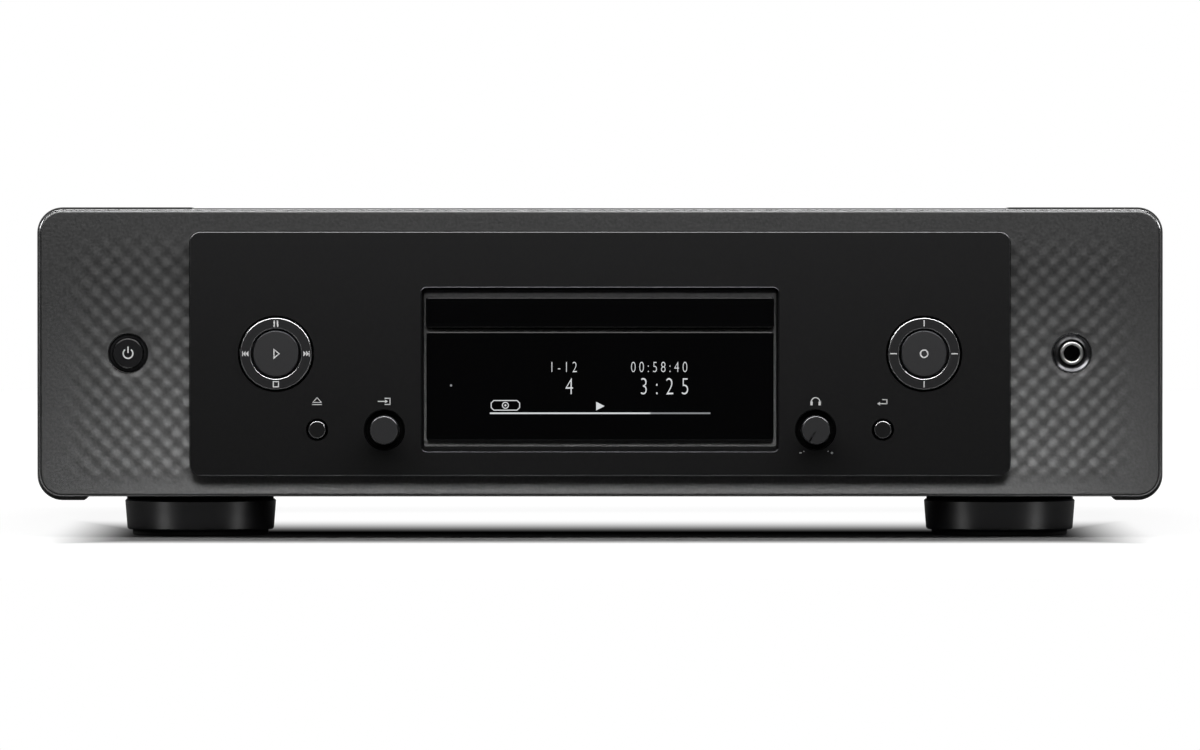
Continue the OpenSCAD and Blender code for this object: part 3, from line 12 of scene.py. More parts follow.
import bpy
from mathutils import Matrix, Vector


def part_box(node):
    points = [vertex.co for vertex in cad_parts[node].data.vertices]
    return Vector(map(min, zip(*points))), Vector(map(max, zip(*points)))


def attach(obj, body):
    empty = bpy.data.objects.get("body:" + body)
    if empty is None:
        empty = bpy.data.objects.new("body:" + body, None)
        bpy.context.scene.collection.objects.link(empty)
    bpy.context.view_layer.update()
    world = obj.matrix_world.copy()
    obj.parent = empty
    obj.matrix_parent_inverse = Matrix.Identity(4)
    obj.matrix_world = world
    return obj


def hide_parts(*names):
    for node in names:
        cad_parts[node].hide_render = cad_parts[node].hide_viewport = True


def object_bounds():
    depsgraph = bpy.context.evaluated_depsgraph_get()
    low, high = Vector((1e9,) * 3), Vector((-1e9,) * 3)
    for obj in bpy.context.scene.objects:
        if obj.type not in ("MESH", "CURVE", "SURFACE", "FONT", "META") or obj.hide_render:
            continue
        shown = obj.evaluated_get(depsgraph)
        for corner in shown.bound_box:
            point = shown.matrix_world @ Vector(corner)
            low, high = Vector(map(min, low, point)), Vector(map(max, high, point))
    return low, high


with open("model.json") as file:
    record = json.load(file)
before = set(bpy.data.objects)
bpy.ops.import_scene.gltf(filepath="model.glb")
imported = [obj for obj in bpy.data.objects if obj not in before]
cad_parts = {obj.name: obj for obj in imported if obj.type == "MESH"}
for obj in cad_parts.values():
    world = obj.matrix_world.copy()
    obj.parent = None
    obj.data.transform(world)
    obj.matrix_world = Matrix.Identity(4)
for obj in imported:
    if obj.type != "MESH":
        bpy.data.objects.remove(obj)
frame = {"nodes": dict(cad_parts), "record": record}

MM = 0.001


def in_mm(lengths):
    """Lengths as rounded millimetres, for printing."""
    return [round(length / MM, 2) for length in lengths]


cad_low, cad_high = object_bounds()
nodes = frame["nodes"]
print(len(nodes), "solids,", in_mm(cad_high - cad_low), "mm")


# %% [markdown]
# Each piece is placed from the solids themselves, so that it follows the CAD model.
# The planes that matter are the frame's face and the plate's face.

# %% Planes and middles
def middle(name):
    """The middle of a solid's box."""
    low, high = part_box(name)
    return (low + high) / 2


def front(name):
    """The foremost plane of a solid."""
    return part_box(name)[0].y


face_y = front("headphone_ring")
panel_y = front("center_panel")
mid_z = middle("center_panel").z
print("face", round(face_y, 4), "plate", round(panel_y, 4), "middle", round(mid_z, 4))


# %% [markdown]
# ## The camera
# The picture is taken straight from the front with a long lens, about four metres away and
# level with the top of the case. Only a very small tilt down is left.

# %% Camera
LENS = 305.3
SENSOR_W = 36
DISTANCE = 4.0
EYE_Z = 130 * MM
TILT_DOWN = 0.944

camera_data = bpy.data.cameras.new("camera")
camera_data.sensor_width = SENSOR_W
camera_data.lens = LENS
camera = bpy.data.objects.new("camera", camera_data)
camera.location = (0, face_y - DISTANCE, EYE_Z)
camera.rotation_euler = (math.radians(90 - TILT_DOWN), 0, 0)
bpy.context.scene.collection.objects.link(camera)
bpy.context.scene.camera = camera
print("camera at", [round(a, 3) for a in camera.location])


# %% [markdown]
# ## Finishes
# A colour is written as the eye sees it, in sRGB, and one function turns it to the linear
# values that shaders use. One more function adds a shader node with its settings and its
# links, so that each recipe below reads as a short list.

# %% Colour and node helpers
def colour(text):
    """An sRGB hex colour as linear red, green, blue and alpha."""
    parts = [int(text[i:i + 2], 16) / 255 for i in (1, 3, 5)]
    linear = [p / 12.92 if p <= 0.04045 else ((p + 0.055) / 1.055) ** 2.4 for p in parts]
    return (*linear, 1.0)


def add_node(owner, kind, inputs=None, **settings):
    """Adds a shader node: settings are its properties, inputs are values or linked sockets."""
    made = owner.node_tree.nodes.new(kind)
    for name, value in settings.items():
        setattr(made, name, value)
    for name, value in (inputs or {}).items():
        if isinstance(value, bpy.types.NodeSocket):
            owner.node_tree.links.new(value, made.inputs[name])
        else:
            made.inputs[name].default_value = value
    return made


print("mid grey, #808080, is", round(colour("#808080")[0], 3), "in linear light")


# %% [markdown]
# Every material here is built round one principled shader. These helpers make it, link a
# pattern into one of its sockets, and find what is linked there.

# %% Materials and their shader
def principled(material):
    """The principled shader of a material."""
    return material.node_tree.nodes["Principled BSDF"]


def new_material(name, **sockets):
    """A material whose principled shader has these values: underscores stand for spaces."""
    made = bpy.data.materials.new(name)
    made.use_nodes = True
    for socket, value in sockets.items():
        principled(made).inputs[socket.replace("_", " ")].default_value = value
    return made


def link_to_shader(material, socket, source):
    """Links a pattern into the principled shader of a material."""
    material.node_tree.links.new(source, principled(material).inputs[socket])


def link_source(material, socket):
    """The pattern that is linked into a socket of the principled shader."""
    return principled(material).inputs[socket].links[0].from_socket


print(len(bpy.data.materials), "materials come with the solids")


# %% [markdown]
# Hardly any surface is quite even: moulds are eroded, metal is blasted, turned or plated, and
# paint dries with a texture. One noise gives a surface its fine grain, and bump, tone and
# gloss vary together with it. Its size is given in millimetres.

# %% A grained finish
# A Mix node repeats its sockets for each kind of value: these are its places for tones and numbers.
FACTOR = 0
TONE_A, TONE_B, TONE_OUT = 6, 7, 2
VALUE_A, VALUE_B, VALUE_OUT = 2, 3, 0


def per_metre(size_mm):
    """The scale of a noise whose grains are this many millimetres across."""
    return 1 / (size_mm * MM)


def grained(name, tones, rough, grain_mm, depth_mm, **sockets):
    """A finish with a fine grain, between two tones and two values of roughness."""
    made = new_material(name, **sockets)
    place = add_node(made, "ShaderNodeTexCoord")
    noise = add_node(made, "ShaderNodeTexNoise",
                     {"Vector": place.outputs["Object"], "Scale": per_metre(grain_mm), "Detail": 3.0})
    amount = noise.outputs["Fac"]
    dark, light = [colour(tone) for tone in tones]
    tone = add_node(made, "ShaderNodeMix", {FACTOR: amount, TONE_A: dark, TONE_B: light},
                    data_type="RGBA")
    gloss = add_node(made, "ShaderNodeMapRange",
                     {"Value": amount, "To Min": rough[0], "To Max": rough[1]})
    bump = add_node(made, "ShaderNodeBump",
                    {"Height": amount, "Distance": depth_mm * MM, "Strength": 1.0})
    link_to_shader(made, "Base Color", tone.outputs[TONE_OUT])
    link_to_shader(made, "Roughness", gloss.outputs["Result"])
    link_to_shader(made, "Normal", bump.outputs["Normal"])
    print("made", made.name)
    return made


# %% [markdown]
# The frame is moulded in ABS with a spark-eroded grain and a satin metallic black coat. It
# catches light softly, so it looks dark grey and never quite black.
#
# The plate ahead of it is aluminium, bead blasted and anodised black: darker, with a very
# fine sparkle. The grain of both is drawn a little coarser than it is, so that it shows.

# %% Front finishes
coated_abs = grained("coated_abs", ("#464646", "#5c5c5c"), rough=(0.36, 0.48),
                     grain_mm=1.1, depth_mm=0.05, Metallic=1.0)
blasted_aluminium = grained("blasted_black_aluminium", ("#0e0e0f", "#171717"), rough=(0.68, 0.8),
                            grain_mm=1.0, depth_mm=0.03, Specular_IOR_Level=0.1)


# %% [markdown]
# The plate's edges were cut with a diamond tool after blasting, so they are smooth and catch the light as
# thin lines. The surface's own direction tells where they are: whatever looks neither straight to the
# front nor straight to a side is an edge. The bevel round the window gets a near-black colour instead.
# This is painted shade, which stands for the shade inside the window's recess.

# %% Where the bevel gets painted shade
BEVEL_SHADE_BLACK = "#020202"
WINDOW_W = 140.3 * MM
WINDOW_H = 64.6 * MM
WINDOW_Z = mid_z - 6.3 * MM
BEVEL_ROOM = 2 * MM
window_shade_area = (WINDOW_W / 2 + BEVEL_ROOM, WINDOW_Z - WINDOW_H / 2 - BEVEL_ROOM,
               WINDOW_Z + WINDOW_H / 2 + BEVEL_ROOM)


def outside_area(material, half_width, lowest, highest):
    """A pattern that is 0 in an upright area in the middle of the front, and 1 outside it."""
    place = add_node(material, "ShaderNodeTexCoord")
    where = add_node(material, "ShaderNodeSeparateXYZ", {0: place.outputs["Object"]})
    across = add_node(material, "ShaderNodeMath", {0: where.outputs["X"]}, operation="ABSOLUTE")
    outside = 0.0
    for value, limit, test in ((across.outputs[0], half_width, "GREATER_THAN"),
                               (where.outputs["Z"], lowest, "LESS_THAN"),
                               (where.outputs["Z"], highest, "GREATER_THAN")):
        past = add_node(material, "ShaderNodeMath", {0: value, 1: limit}, operation=test)
        either = add_node(material, "ShaderNodeMath", {0: outside, 1: past.outputs[0]},
                          operation="MAXIMUM")
        outside = either.outputs[0]
    return outside


print("edges are dull up to", round(window_shade_area[0] / MM, 1), "mm from the middle")


# %% [markdown]
# The edge is a pattern too: it is 1 where the normal leans far enough. It mixes the face's tone
# and gloss with those of the cut metal, and takes the grain's bump away.

# %% Bright edges
# Ranges of the normal's Y: in which a face turns to an edge, and a side wall to an edge.
FACE_TO_EDGE = (-0.98, -0.9)
WALL_TO_EDGE = (-0.04, -0.2)


def polish_edges(material, edge_tone, edge_rough, face_to_edge=FACE_TO_EDGE, shade_area=None):
    """Where a surface turns away from the front, its tone and gloss change to a cut edge's.

    In the shade area, given as half its width, lowest and highest point, edges get a painted near-black
    shade.
    """
    face_tone = link_source(material, "Base Color")
    face_rough = link_source(material, "Roughness")
    place = add_node(material, "ShaderNodeTexCoord")
    facing = add_node(material, "ShaderNodeSeparateXYZ", {0: place.outputs["Normal"]})
    turned, not_wall = [
        add_node(material, "ShaderNodeMapRange",
                 {"Value": facing.outputs["Y"], "From Min": start, "From Max": end}).outputs["Result"]
        for start, end in (face_to_edge, WALL_TO_EDGE)
    ]
    edge = add_node(material, "ShaderNodeMath", {0: turned, 1: not_wall}, operation="MULTIPLY")
    if shade_area:
        outside = outside_area(material, *shade_area)
        # Painted shade: inside the area, the edge's tone turns near black.
        dull = add_node(material, "ShaderNodeMath", {0: edge.outputs[0], 1: outside},
                        operation="SUBTRACT", use_clamp=True)
        shaded = add_node(material, "ShaderNodeMix",
                          {FACTOR: dull.outputs[0], TONE_A: face_tone, TONE_B: colour(BEVEL_SHADE_BLACK)},
                          data_type="RGBA")
        face_tone = shaded.outputs[TONE_OUT]
        edge = add_node(material, "ShaderNodeMath", {0: edge.outputs[0], 1: outside},
                        operation="MULTIPLY")
    amount = edge.outputs[0]
    tone = add_node(material, "ShaderNodeMix",
                    {FACTOR: amount, TONE_A: face_tone, TONE_B: colour(edge_tone)}, data_type="RGBA")
    rough = add_node(material, "ShaderNodeMix",
                     {FACTOR: amount, VALUE_A: face_rough, VALUE_B: edge_rough})
    grain_left = add_node(material, "ShaderNodeMath", {0: 1.0, 1: amount}, operation="SUBTRACT")
    bump = link_source(material, "Normal").node
    material.node_tree.links.new(grain_left.outputs[0], bump.inputs["Strength"])
    link_to_shader(material, "Base Color", tone.outputs[TONE_OUT])
    link_to_shader(material, "Roughness", rough.outputs[VALUE_OUT])
    if principled(material).inputs["Metallic"].default_value == 0:
        link_to_shader(material, "Metallic", amount)
    print("polished the edges of", material.name)


# The bevel round the plate's window gets painted shade.
polish_edges(blasted_aluminium, "#5c5c5d", 0.22, shade_area=window_shade_area)
polish_edges(coated_abs, "#dcdcdd", 0.18, face_to_edge=(-0.88, -0.75))

# %% [markdown]
# The window and the tray's front are polished black acrylic: nearly no colour of their own,
# and a clean reflection. A faint change of gloss stands for the polish.

# %% Polished acrylic
polished_acrylic = grained("polished_black_acrylic", ("#030303", "#040405"), rough=(0.05, 0.09),
                           grain_mm=40, depth_mm=0.002)


# %% [markdown]
# The controls are turned from aluminium and anodised dark. The rings are a shade darker
# than the buttons in them. Turning leaves fine rings, far too fine to see from here, so a
# small even grain stands for them. Only the power button is black ABS, and the collar of the
# headphone jack is turned aluminium in plain grey.

# %% Control finishes
def anodised(name, tones, edge_tone, edge_rough):
    """Turned aluminium, anodised dark, with cut edges."""
    made = grained(name, tones, rough=(0.4, 0.5), grain_mm=0.4, depth_mm=0.012, Specular_IOR_Level=0.2)
    polish_edges(made, edge_tone, edge_rough)
    return made


ring_anodised = anodised("dark_anodised_ring", ("#1c1c1d", "#212122"), "#c8c8c9", 0.2)
button_anodised = anodised("dark_anodised_button", ("#2a2a2b", "#2f2f30"), "#343436", 0.3)
knob_anodised = anodised("dark_anodised_knob", ("#272728", "#2e2e2f"), "#707072", 0.24)
# The eject and back buttons get a darker tone than the other buttons.
small_anodised = anodised("darker_anodised_button", ("#0d0d0d", "#121213"), "#b0b0b1", 0.2)
gloss_abs = grained("gloss_black_abs", ("#161617", "#1a1a1b"), rough=(0.18, 0.26),
                    grain_mm=6, depth_mm=0.004)
turned_grey = grained("turned_grey_aluminium", ("#3a3a3c", "#444446"), rough=(0.36, 0.46),
                      grain_mm=0.5, depth_mm=0.01, Metallic=1.0)
polish_edges(turned_grey, "#5a5a5c", 0.26)


# %% [markdown]
# The feet are moulded with a satin gloss, all but their neck, and stand on rubber pads. A point's
# height tells where the neck starts.

# %% Finishes of the feet
NECK_H = 2.1 * MM
NECK_FADE = 0.5 * MM


def dull_above(material, height, dullest):
    """Above a height the surface was never polished: its gloss fades to dull there."""
    face_rough = link_source(material, "Roughness")
    place = add_node(material, "ShaderNodeTexCoord")
    axes = add_node(material, "ShaderNodeSeparateXYZ", {0: place.outputs["Object"]})
    above = add_node(material, "ShaderNodeMapRange",
                     {"Value": axes.outputs["Z"], "From Min": height, "From Max": height + NECK_FADE})
    rough = add_node(material, "ShaderNodeMix",
                     {FACTOR: above.outputs["Result"], VALUE_A: face_rough, VALUE_B: dullest})
    link_to_shader(material, "Roughness", rough.outputs[VALUE_OUT])


satin_foot = grained("satin_black_abs", ("#050506", "#08080a"), rough=(0.2, 0.26),
                     grain_mm=0.8, depth_mm=0.001, Specular_IOR_Level=0.75)
dull_above(satin_foot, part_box("front_feet")[1].z - NECK_H, 1.0)
black_rubber = grained("black_rubber", ("#050505", "#090909"), rough=(0.75, 0.9),
                       grain_mm=0.8, depth_mm=0.04)

# %% [markdown]
# The cover and the back are folded steel with a fine textured black paint. The chassis in them is
# zinc plated, which leaves large pale crystals, and the screws are black with oxide.

# %% Case finishes
textured_paint = grained("textured_black_paint", ("#1a1a1b", "#212122"), rough=(0.6, 0.74),
                         grain_mm=0.7, depth_mm=0.06, Specular_IOR_Level=0.3)
zinc_sheet = grained("zinc_plated_steel", ("#8b8e92", "#a3a6aa"), rough=(0.32, 0.48),
                     grain_mm=9, depth_mm=0.01, Metallic=1.0)
black_oxide = grained("black_oxide_steel", ("#17171a", "#202024"), rough=(0.34, 0.46),
                      grain_mm=0.6, depth_mm=0.01, Metallic=0.6)

# %% [markdown]
# Inside there are circuit boards, cast metal, bright steel, acetal gears and black mouldings.
# They show only through the tray's mouth and the sockets, but they get true finishes too.

# %% Inner finishes
solder_resist = grained("green_solder_resist", ("#123a26", "#1a4a31"), rough=(0.3, 0.4),
                        grain_mm=3, depth_mm=0.01)
cast_zinc = grained("cast_zinc", ("#77797c", "#8a8c8f"), rough=(0.4, 0.52),
                    grain_mm=1.5, depth_mm=0.02, Metallic=1.0)
bright_steel = grained("bright_steel", ("#a9acb0", "#bcbfc3"), rough=(0.2, 0.3),
                       grain_mm=1.0, depth_mm=0.004, Metallic=1.0)
acetal = grained("natural_acetal", ("#d6d2c6", "#e0dcd0"), rough=(0.36, 0.46),
                 grain_mm=2, depth_mm=0.01)
black_moulding = grained("grained_black_moulding", ("#131314", "#1b1b1c"), rough=(0.45, 0.6),
                         grain_mm=0.6, depth_mm=0.03)
winding_tape = grained("yellow_polyester_tape", ("#a88a3c", "#bd9d4a"), rough=(0.3, 0.42),
                       grain_mm=5, depth_mm=0.05)
shrink_sleeve = grained("black_shrink_sleeve", ("#14161b", "#1d2027"), rough=(0.25, 0.35),
                        grain_mm=4, depth_mm=0.01)
gold_plate = grained("gold_plate", ("#c39a44", "#d2aa55"), rough=(0.16, 0.26),
                     grain_mm=1.0, depth_mm=0.004, Metallic=1.0)


# %% [markdown]
# A data port is a bright pressed shell round a black insulator, and the headphone jack is a
# nickel bush in front of one. One solid stands for both materials, so the finish changes with
# depth: bright at the rim, black behind it. The phono sockets are the same nickel all over.

# %% Shells of the ports and of the jack
INSULATOR = "#060607"
RIM_DEEP = 0.6 * MM
BUSH_DEEP = 2.0 * MM
NICKEL = {"tones": ("#dededc", "#e8e8e6"), "rough": (0.26, 0.34), "grain_mm": 1.5, "depth_mm": 0.004}


def bright_rim(material, black_y, bright_y):
    """Black up to one depth and bright metal from another: a shell round a black insulator."""
    shell_tone = link_source(material, "Base Color")
    place = add_node(material, "ShaderNodeTexCoord")
    axes = add_node(material, "ShaderNodeSeparateXYZ", {0: place.outputs["Object"]})
    rim = add_node(material, "ShaderNodeMapRange",
                   {"Value": axes.outputs["Y"], "From Min": black_y, "From Max": bright_y})
    tone = add_node(material, "ShaderNodeMix",
                    {FACTOR: rim.outputs["Result"], TONE_A: colour(INSULATOR), TONE_B: shell_tone},
                    data_type="RGBA")
    link_to_shader(material, "Base Color", tone.outputs[TONE_OUT])
    link_to_shader(material, "Metallic", rim.outputs["Result"])
    print(material.name, "is bright from", round(bright_y, 4), "and black from", round(black_y, 4))


back_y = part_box("rear_panel")[1].y
jack_y = front("headphone_jack")
bright_nickel = grained("bright_nickel", **NICKEL, Metallic=1.0)
jack_bush = grained("nickel_plated_bush", **NICKEL)
port_shell = grained("tin_plated_port_shell", ("#b4b5b6", "#c3c4c4"), rough=(0.24, 0.34),
                     grain_mm=1.2, depth_mm=0.004)
bright_rim(jack_bush, jack_y + BUSH_DEEP, jack_y + BUSH_DEEP / 2)
bright_rim(port_shell, back_y - RIM_DEEP, back_y)

# %% [markdown]
# Each solid gets its finish by name. A CAD solid is never moved or reshaped here: only its
# material slots are filled.

# %% Give every solid its finish
FINISHES = {
    coated_abs: ["front_frame"],
    blasted_aluminium: ["center_panel"],
    polished_acrylic: ["display_window", "tray_front"],
    ring_anodised: ["transport_ring", "cursor_ring"],
    button_anodised: ["play_button", "enter_button"],
    knob_anodised: ["input_knob", "phones_knob"],
    small_anodised: ["eject_button", "back_button"],
    gloss_abs: ["power_button", "power_button_ring"],
    turned_grey: ["headphone_ring"],
    bright_nickel: ["phono_jacks"],
    jack_bush: ["headphone_jack"],
    port_shell: ["data_ports"],
    satin_foot: ["front_feet", "rear_feet"],
    black_rubber: ["foot_pads", "drive_belt"],
    textured_paint: ["top_cover", "rear_panel"],
    zinc_sheet: ["bottom_chassis", "front_subchassis", "clamp_bridge"],
    black_oxide: ["case_screws", "foot_screws"],
    solder_resist: ["display_module", "left_switch_board", "right_switch_board",
                    "power_supply_board", "main_board", "audio_board"],
    cast_zinc: ["input_encoder", "phones_pot", "transformer_clamp", "traverse_base",
                "optical_pickup", "transport_ring_carrier", "cursor_ring_carrier"],
    bright_steel: ["loading_motor", "spindle_motor", "guide_rods", "sled_motor", "lead_screw"],
    acetal: ["loading_gear", "motor_pulley"],
    black_moulding: ["loader_base", "disc_tray", "turntable", "clamper", "mains_inlet",
                     "optical_sockets"],
    winding_tape: ["toroidal_transformer"],
    shrink_sleeve: ["smoothing_capacitors"],
    gold_plate: ["aerial_sockets"],
}
finished = 0
for finish, names in FINISHES.items():
    for name in names:
        nodes[name].data.materials.clear()
        nodes[name].data.materials.append(finish)
        finished += 1
print(finished, "of", len(nodes), "solids have a finish")


# %% [markdown]
# ## The wings
# Left and right of the plate the frame has a soft moulded relief, like a quilted sheet. It
# could be a bump map, but then it would be missing from the shape itself. So each wing gets
# a thin skin: a fine grid whose points are raised by two crossed waves, and let down again
# towards the edges, where it lies flush on the frame. A hole leaves room for the control.
#
# An operator acts on what is selected, so selecting comes first: whole pieces by name, and faces
# or points by a test of their place or direction.

# %% Selecting in code
def clear_selection():
    """Object mode, with nothing selected."""
    if bpy.context.mode != "OBJECT":
        bpy.ops.object.mode_set(mode="OBJECT")
    bpy.ops.object.select_all(action="DESELECT")


def pick(piece, kind, wanted):
    """Goes to edit mode with only those faces or points of the active piece selected that a test picks."""
    bpy.ops.object.mode_set(mode="EDIT")
    bpy.ops.mesh.select_mode(type=kind)
    bpy.ops.mesh.select_all(action="DESELECT")
    bpy.ops.object.mode_set(mode="OBJECT")
    for part in piece.data.polygons if kind == "FACE" else piece.data.vertices:
        part.select = wanted(part)
    bpy.ops.object.mode_set(mode="EDIT")


def drop(piece, kind, unwanted):
    """Deletes those faces or points of the active piece that a test picks."""
    pick(piece, kind, unwanted)
    bpy.ops.mesh.delete(type=kind)
    bpy.ops.object.mode_set(mode="OBJECT")


clear_selection()
print(len(bpy.context.selected_objects), "objects are selected")


# %% [markdown]
# Some steps come back in nearly every piece. A sheet gets its thickness from a Solidify modifier,
# the place of a piece goes into its mesh, and at the end it gets its name, its finish and the body
# that it rides on.

# %% Steps that come back
FACING_FRONT = (math.pi / 2, 0, 0)
SMOOTH_ANGLE = math.radians(35)
# A face looks straight along an axis when that part of its normal is larger than this.
STRAIGHT = 0.9


def apply_place():
    """Puts the place, turn and scale of the active piece into its mesh."""
    bpy.ops.object.transform_apply(location=True, rotation=True, scale=True)


def thicken(piece, thickness, offset):
    """Gives a sheet a thickness: behind its faces with offset -1, ahead of them with 1."""
    wall = piece.modifiers.new("wall", "SOLIDIFY")
    wall.thickness = thickness
    wall.offset = offset
    bpy.ops.object.modifier_apply(modifier=wall.name)


def dress(piece, name, finish, body):
    """Names a piece, gives it its finish and lets it ride on a body."""
    piece.name = name
    piece.data.materials.clear()
    piece.data.materials.append(finish)
    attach(piece, body)
    print(name, len(piece.data.polygons), "faces on", body)


print("edges under", round(math.degrees(SMOOTH_ANGLE)), "degrees are shaded smooth")


# %% [markdown]
# The height of a point is worked out from its place. Two waves cross each other at right
# angles, and four soft steps bring them down to nothing at the edges and round the control.
# The relief is only a fifth of a millimetre high, and shows best in slanted light.

# %% Height of the relief
WING_IN = 153 * MM
WING_OUT = 216 * MM
WING_LOW = 20.5 * MM
WING_TOP = 124.5 * MM
FADE_OUT = 22 * MM
FADE_TOP = 18 * MM
FADE_LOW = 7 * MM
FADE_HOLE = 2 * MM
WAVE = 5.6 * MM
WAVE_H = 0.1 * MM
FLUSH = 0.02 * MM
HOLE_R = 8.1 * MM


def ease(value, span):
    """A smooth step from 0 to 1 as a distance grows from nothing to the span."""
    t = min(max(value / span, 0.0), 1.0)
    return t * t * (3 - 2 * t)


def relief(x, z, hole_x):
    """Height of the skin above the frame's face: two crossed waves that fade to the edges."""
    along = (abs(x) + z) / math.sqrt(2)
    across = (abs(x) - z) / math.sqrt(2)
    wave = math.cos(2 * math.pi * along / WAVE) + math.cos(2 * math.pi * across / WAVE)
    fade = ease(WING_OUT - abs(x), FADE_OUT) * ease(WING_TOP - z, FADE_TOP) * ease(z - WING_LOW, FADE_LOW)
    fade *= ease(math.hypot(x - hole_x, z - mid_z) - HOLE_R, FADE_HOLE)
    return FLUSH + WAVE_H * (1 + wave / 2) * fade


print("the relief is up to", round((FLUSH + 2 * WAVE_H) / MM, 2), "mm high")


# %% [markdown]
# Now the skins. Points inside the hole are deleted, the points beside it are pulled to a true
# circle, and the sheet gets its thickness.

# %% Skins of the wings
GRID = 0.6 * MM
SKIN_T = 0.4 * MM


def make_wing(name, control):
    """A skin with a relief on one wing, round the control in its middle."""
    hole_x = middle(control).x
    side = math.copysign(1, hole_x)
    width = WING_OUT - WING_IN
    height = WING_TOP - WING_LOW
    clear_selection()
    bpy.ops.mesh.primitive_grid_add(
        x_subdivisions=round(width / GRID), y_subdivisions=round(height / GRID), size=1,
        location=(side * (WING_IN + WING_OUT) / 2, face_y, (WING_LOW + WING_TOP) / 2),
        rotation=FACING_FRONT)
    wing = bpy.context.object
    wing.scale = (width, height, 1)
    apply_place()

    def reach(point):
        """How far a point is from the middle of the hole."""
        return math.hypot(point.co.x - hole_x, point.co.z - mid_z)

    drop(wing, "VERT", lambda point: reach(point) < HOLE_R - GRID / 2)
    for point in wing.data.vertices:
        if reach(point) < HOLE_R + GRID / 4:
            growth = HOLE_R / reach(point)
            point.co.x = hole_x + (point.co.x - hole_x) * growth
            point.co.z = mid_z + (point.co.z - mid_z) * growth
        point.co.y = face_y - relief(point.co.x, point.co.z, hole_x)
    thicken(wing, SKIN_T, -1)
    bpy.ops.object.shade_smooth_by_angle(angle=SMOOTH_ANGLE)
    dress(wing, name, coated_abs, "chassis")
    return wing


wings = [make_wing("left_wing_relief", "power_button"), make_wing("right_wing_relief", "headphone_jack")]


# %% [markdown]
# ## The window's edge
# The outermost edge of the window's bevel is rounded by a hair's breadth, and that is enough
# to show as a thin bright line. The line is swept: a flat bar gets round corners, loses
# its face, and its outline becomes a curve with a round section.

# %% Bright line round the window
EDGE_R = 0.2 * MM
CORNER_R = 2.2 * MM


def clear_bar(width, height, at):
    """A flat bar that faces the front, as the only thing selected."""
    clear_selection()
    bpy.ops.mesh.primitive_plane_add(size=1, location=at, rotation=FACING_FRONT)
    piece = bpy.context.object
    piece.scale = (width, height, 1)
    bpy.ops.object.transform_apply(location=False, rotation=False, scale=True)
    return piece


def cut_corners(size, steps):
    """Goes to edit mode, bevels the corners of the active flat shape, and selects all of it."""
    bpy.ops.object.mode_set(mode="EDIT")
    bpy.ops.mesh.select_all(action="SELECT")
    bpy.ops.mesh.bevel(offset=size, segments=steps, affect="VERTICES")
    bpy.ops.mesh.select_all(action="SELECT")


cut_edge = grained("diamond_cut_aluminium", ("#56565a", "#626266"), rough=(0.2, 0.28),
                   grain_mm=0.6, depth_mm=0.002, Metallic=1.0)
clear_bar(WINDOW_W, WINDOW_H, (0, panel_y + EDGE_R / 2, WINDOW_Z))
cut_corners(CORNER_R, 6)
bpy.ops.mesh.delete(type="ONLY_FACE")
bpy.ops.object.mode_set(mode="OBJECT")
bpy.ops.object.convert(target="CURVE")
edge_curve = bpy.context.object.data
edge_curve.dimensions = "3D"
edge_curve.bevel_depth = EDGE_R
edge_curve.bevel_resolution = 2
bpy.ops.object.convert(target="MESH")
edge_line = bpy.context.object
apply_place()
bpy.ops.object.shade_smooth()
dress(edge_line, "window_edge", cut_edge, "chassis")

# %% [markdown]
# The plate's lower edge catches light in the same way. It is straight, so a thin rod does: its
# two end faces are scaled down, so that the line runs out softly before the round corners.

# %% Bright line under the plate
LINE_END = 6 * MM
LINE_R = 0.13 * MM
LINE_SINK = 0.8 * LINE_R
LINE_TIP = 0.3
bare_edge = grained("bare_aluminium_edge", ("#49494b", "#515153"), rough=(0.55, 0.65),
                    grain_mm=0.6, depth_mm=0.002, Metallic=1.0)
plate_low, plate_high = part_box("center_panel")
line_at = (0, panel_y + LINE_SINK, plate_low.z + LINE_R)
clear_selection()
bpy.ops.mesh.primitive_cylinder_add(
    vertices=12, radius=LINE_R, depth=plate_high.x - plate_low.x - 2 * LINE_END,
    location=line_at, rotation=(0, math.pi / 2, 0))
low_line = bpy.context.object
apply_place()
pick(low_line, "FACE", lambda face: abs(face.normal.x) > STRAIGHT)
bpy.ops.mesh.extrude_faces_move(TRANSFORM_OT_shrink_fatten={"value": LINE_END / 2})
bpy.ops.transform.resize(value=(1, LINE_TIP, LINE_TIP), center_override=line_at)
bpy.ops.object.mode_set(mode="OBJECT")
bpy.ops.object.shade_smooth_by_angle(angle=SMOOTH_ANGLE)
dress(low_line, "plate_low_edge", bare_edge, "chassis")


# %% [markdown]
# ## The wells of the knobs
# Each knob stands in a well that looks quite black. A felt ring lies in the well, and its near-black
# colour is painted shade: it stands for the shade deep in the well. It starts as a flat circle: an inset
# gives the hole, and a thickness and a small bevel finish it.

# %% Washers
SOFT_EDGE = 0.2 * MM


def open_middle(stroke):
    """Turns the active flat shape into its outline: an inset, and what it leaves inside is deleted."""
    bpy.ops.object.mode_set(mode="EDIT")
    bpy.ops.mesh.select_all(action="SELECT")
    bpy.ops.mesh.inset(thickness=stroke)
    bpy.ops.mesh.delete(type="FACE")
    bpy.ops.object.mode_set(mode="OBJECT")


def flat_washer(outer, inner, thickness, facing):
    """A washer with soft edges at the origin: facing is 90 for the front, -90 for the back, 0 for up."""
    clear_selection()
    bpy.ops.mesh.primitive_circle_add(vertices=48, radius=outer, fill_type="NGON",
                                      rotation=(math.radians(facing), 0, 0))
    washer = bpy.context.object
    open_middle(outer - inner)
    thicken(washer, thickness, -1)
    soft = washer.modifiers.new("soft", "BEVEL")
    soft.width = min(thickness / 5, SOFT_EDGE)
    soft.segments = 2
    bpy.ops.object.modifier_apply(modifier=soft.name)
    apply_place()
    bpy.ops.object.shade_smooth_by_angle(angle=SMOOTH_ANGLE)
    return washer


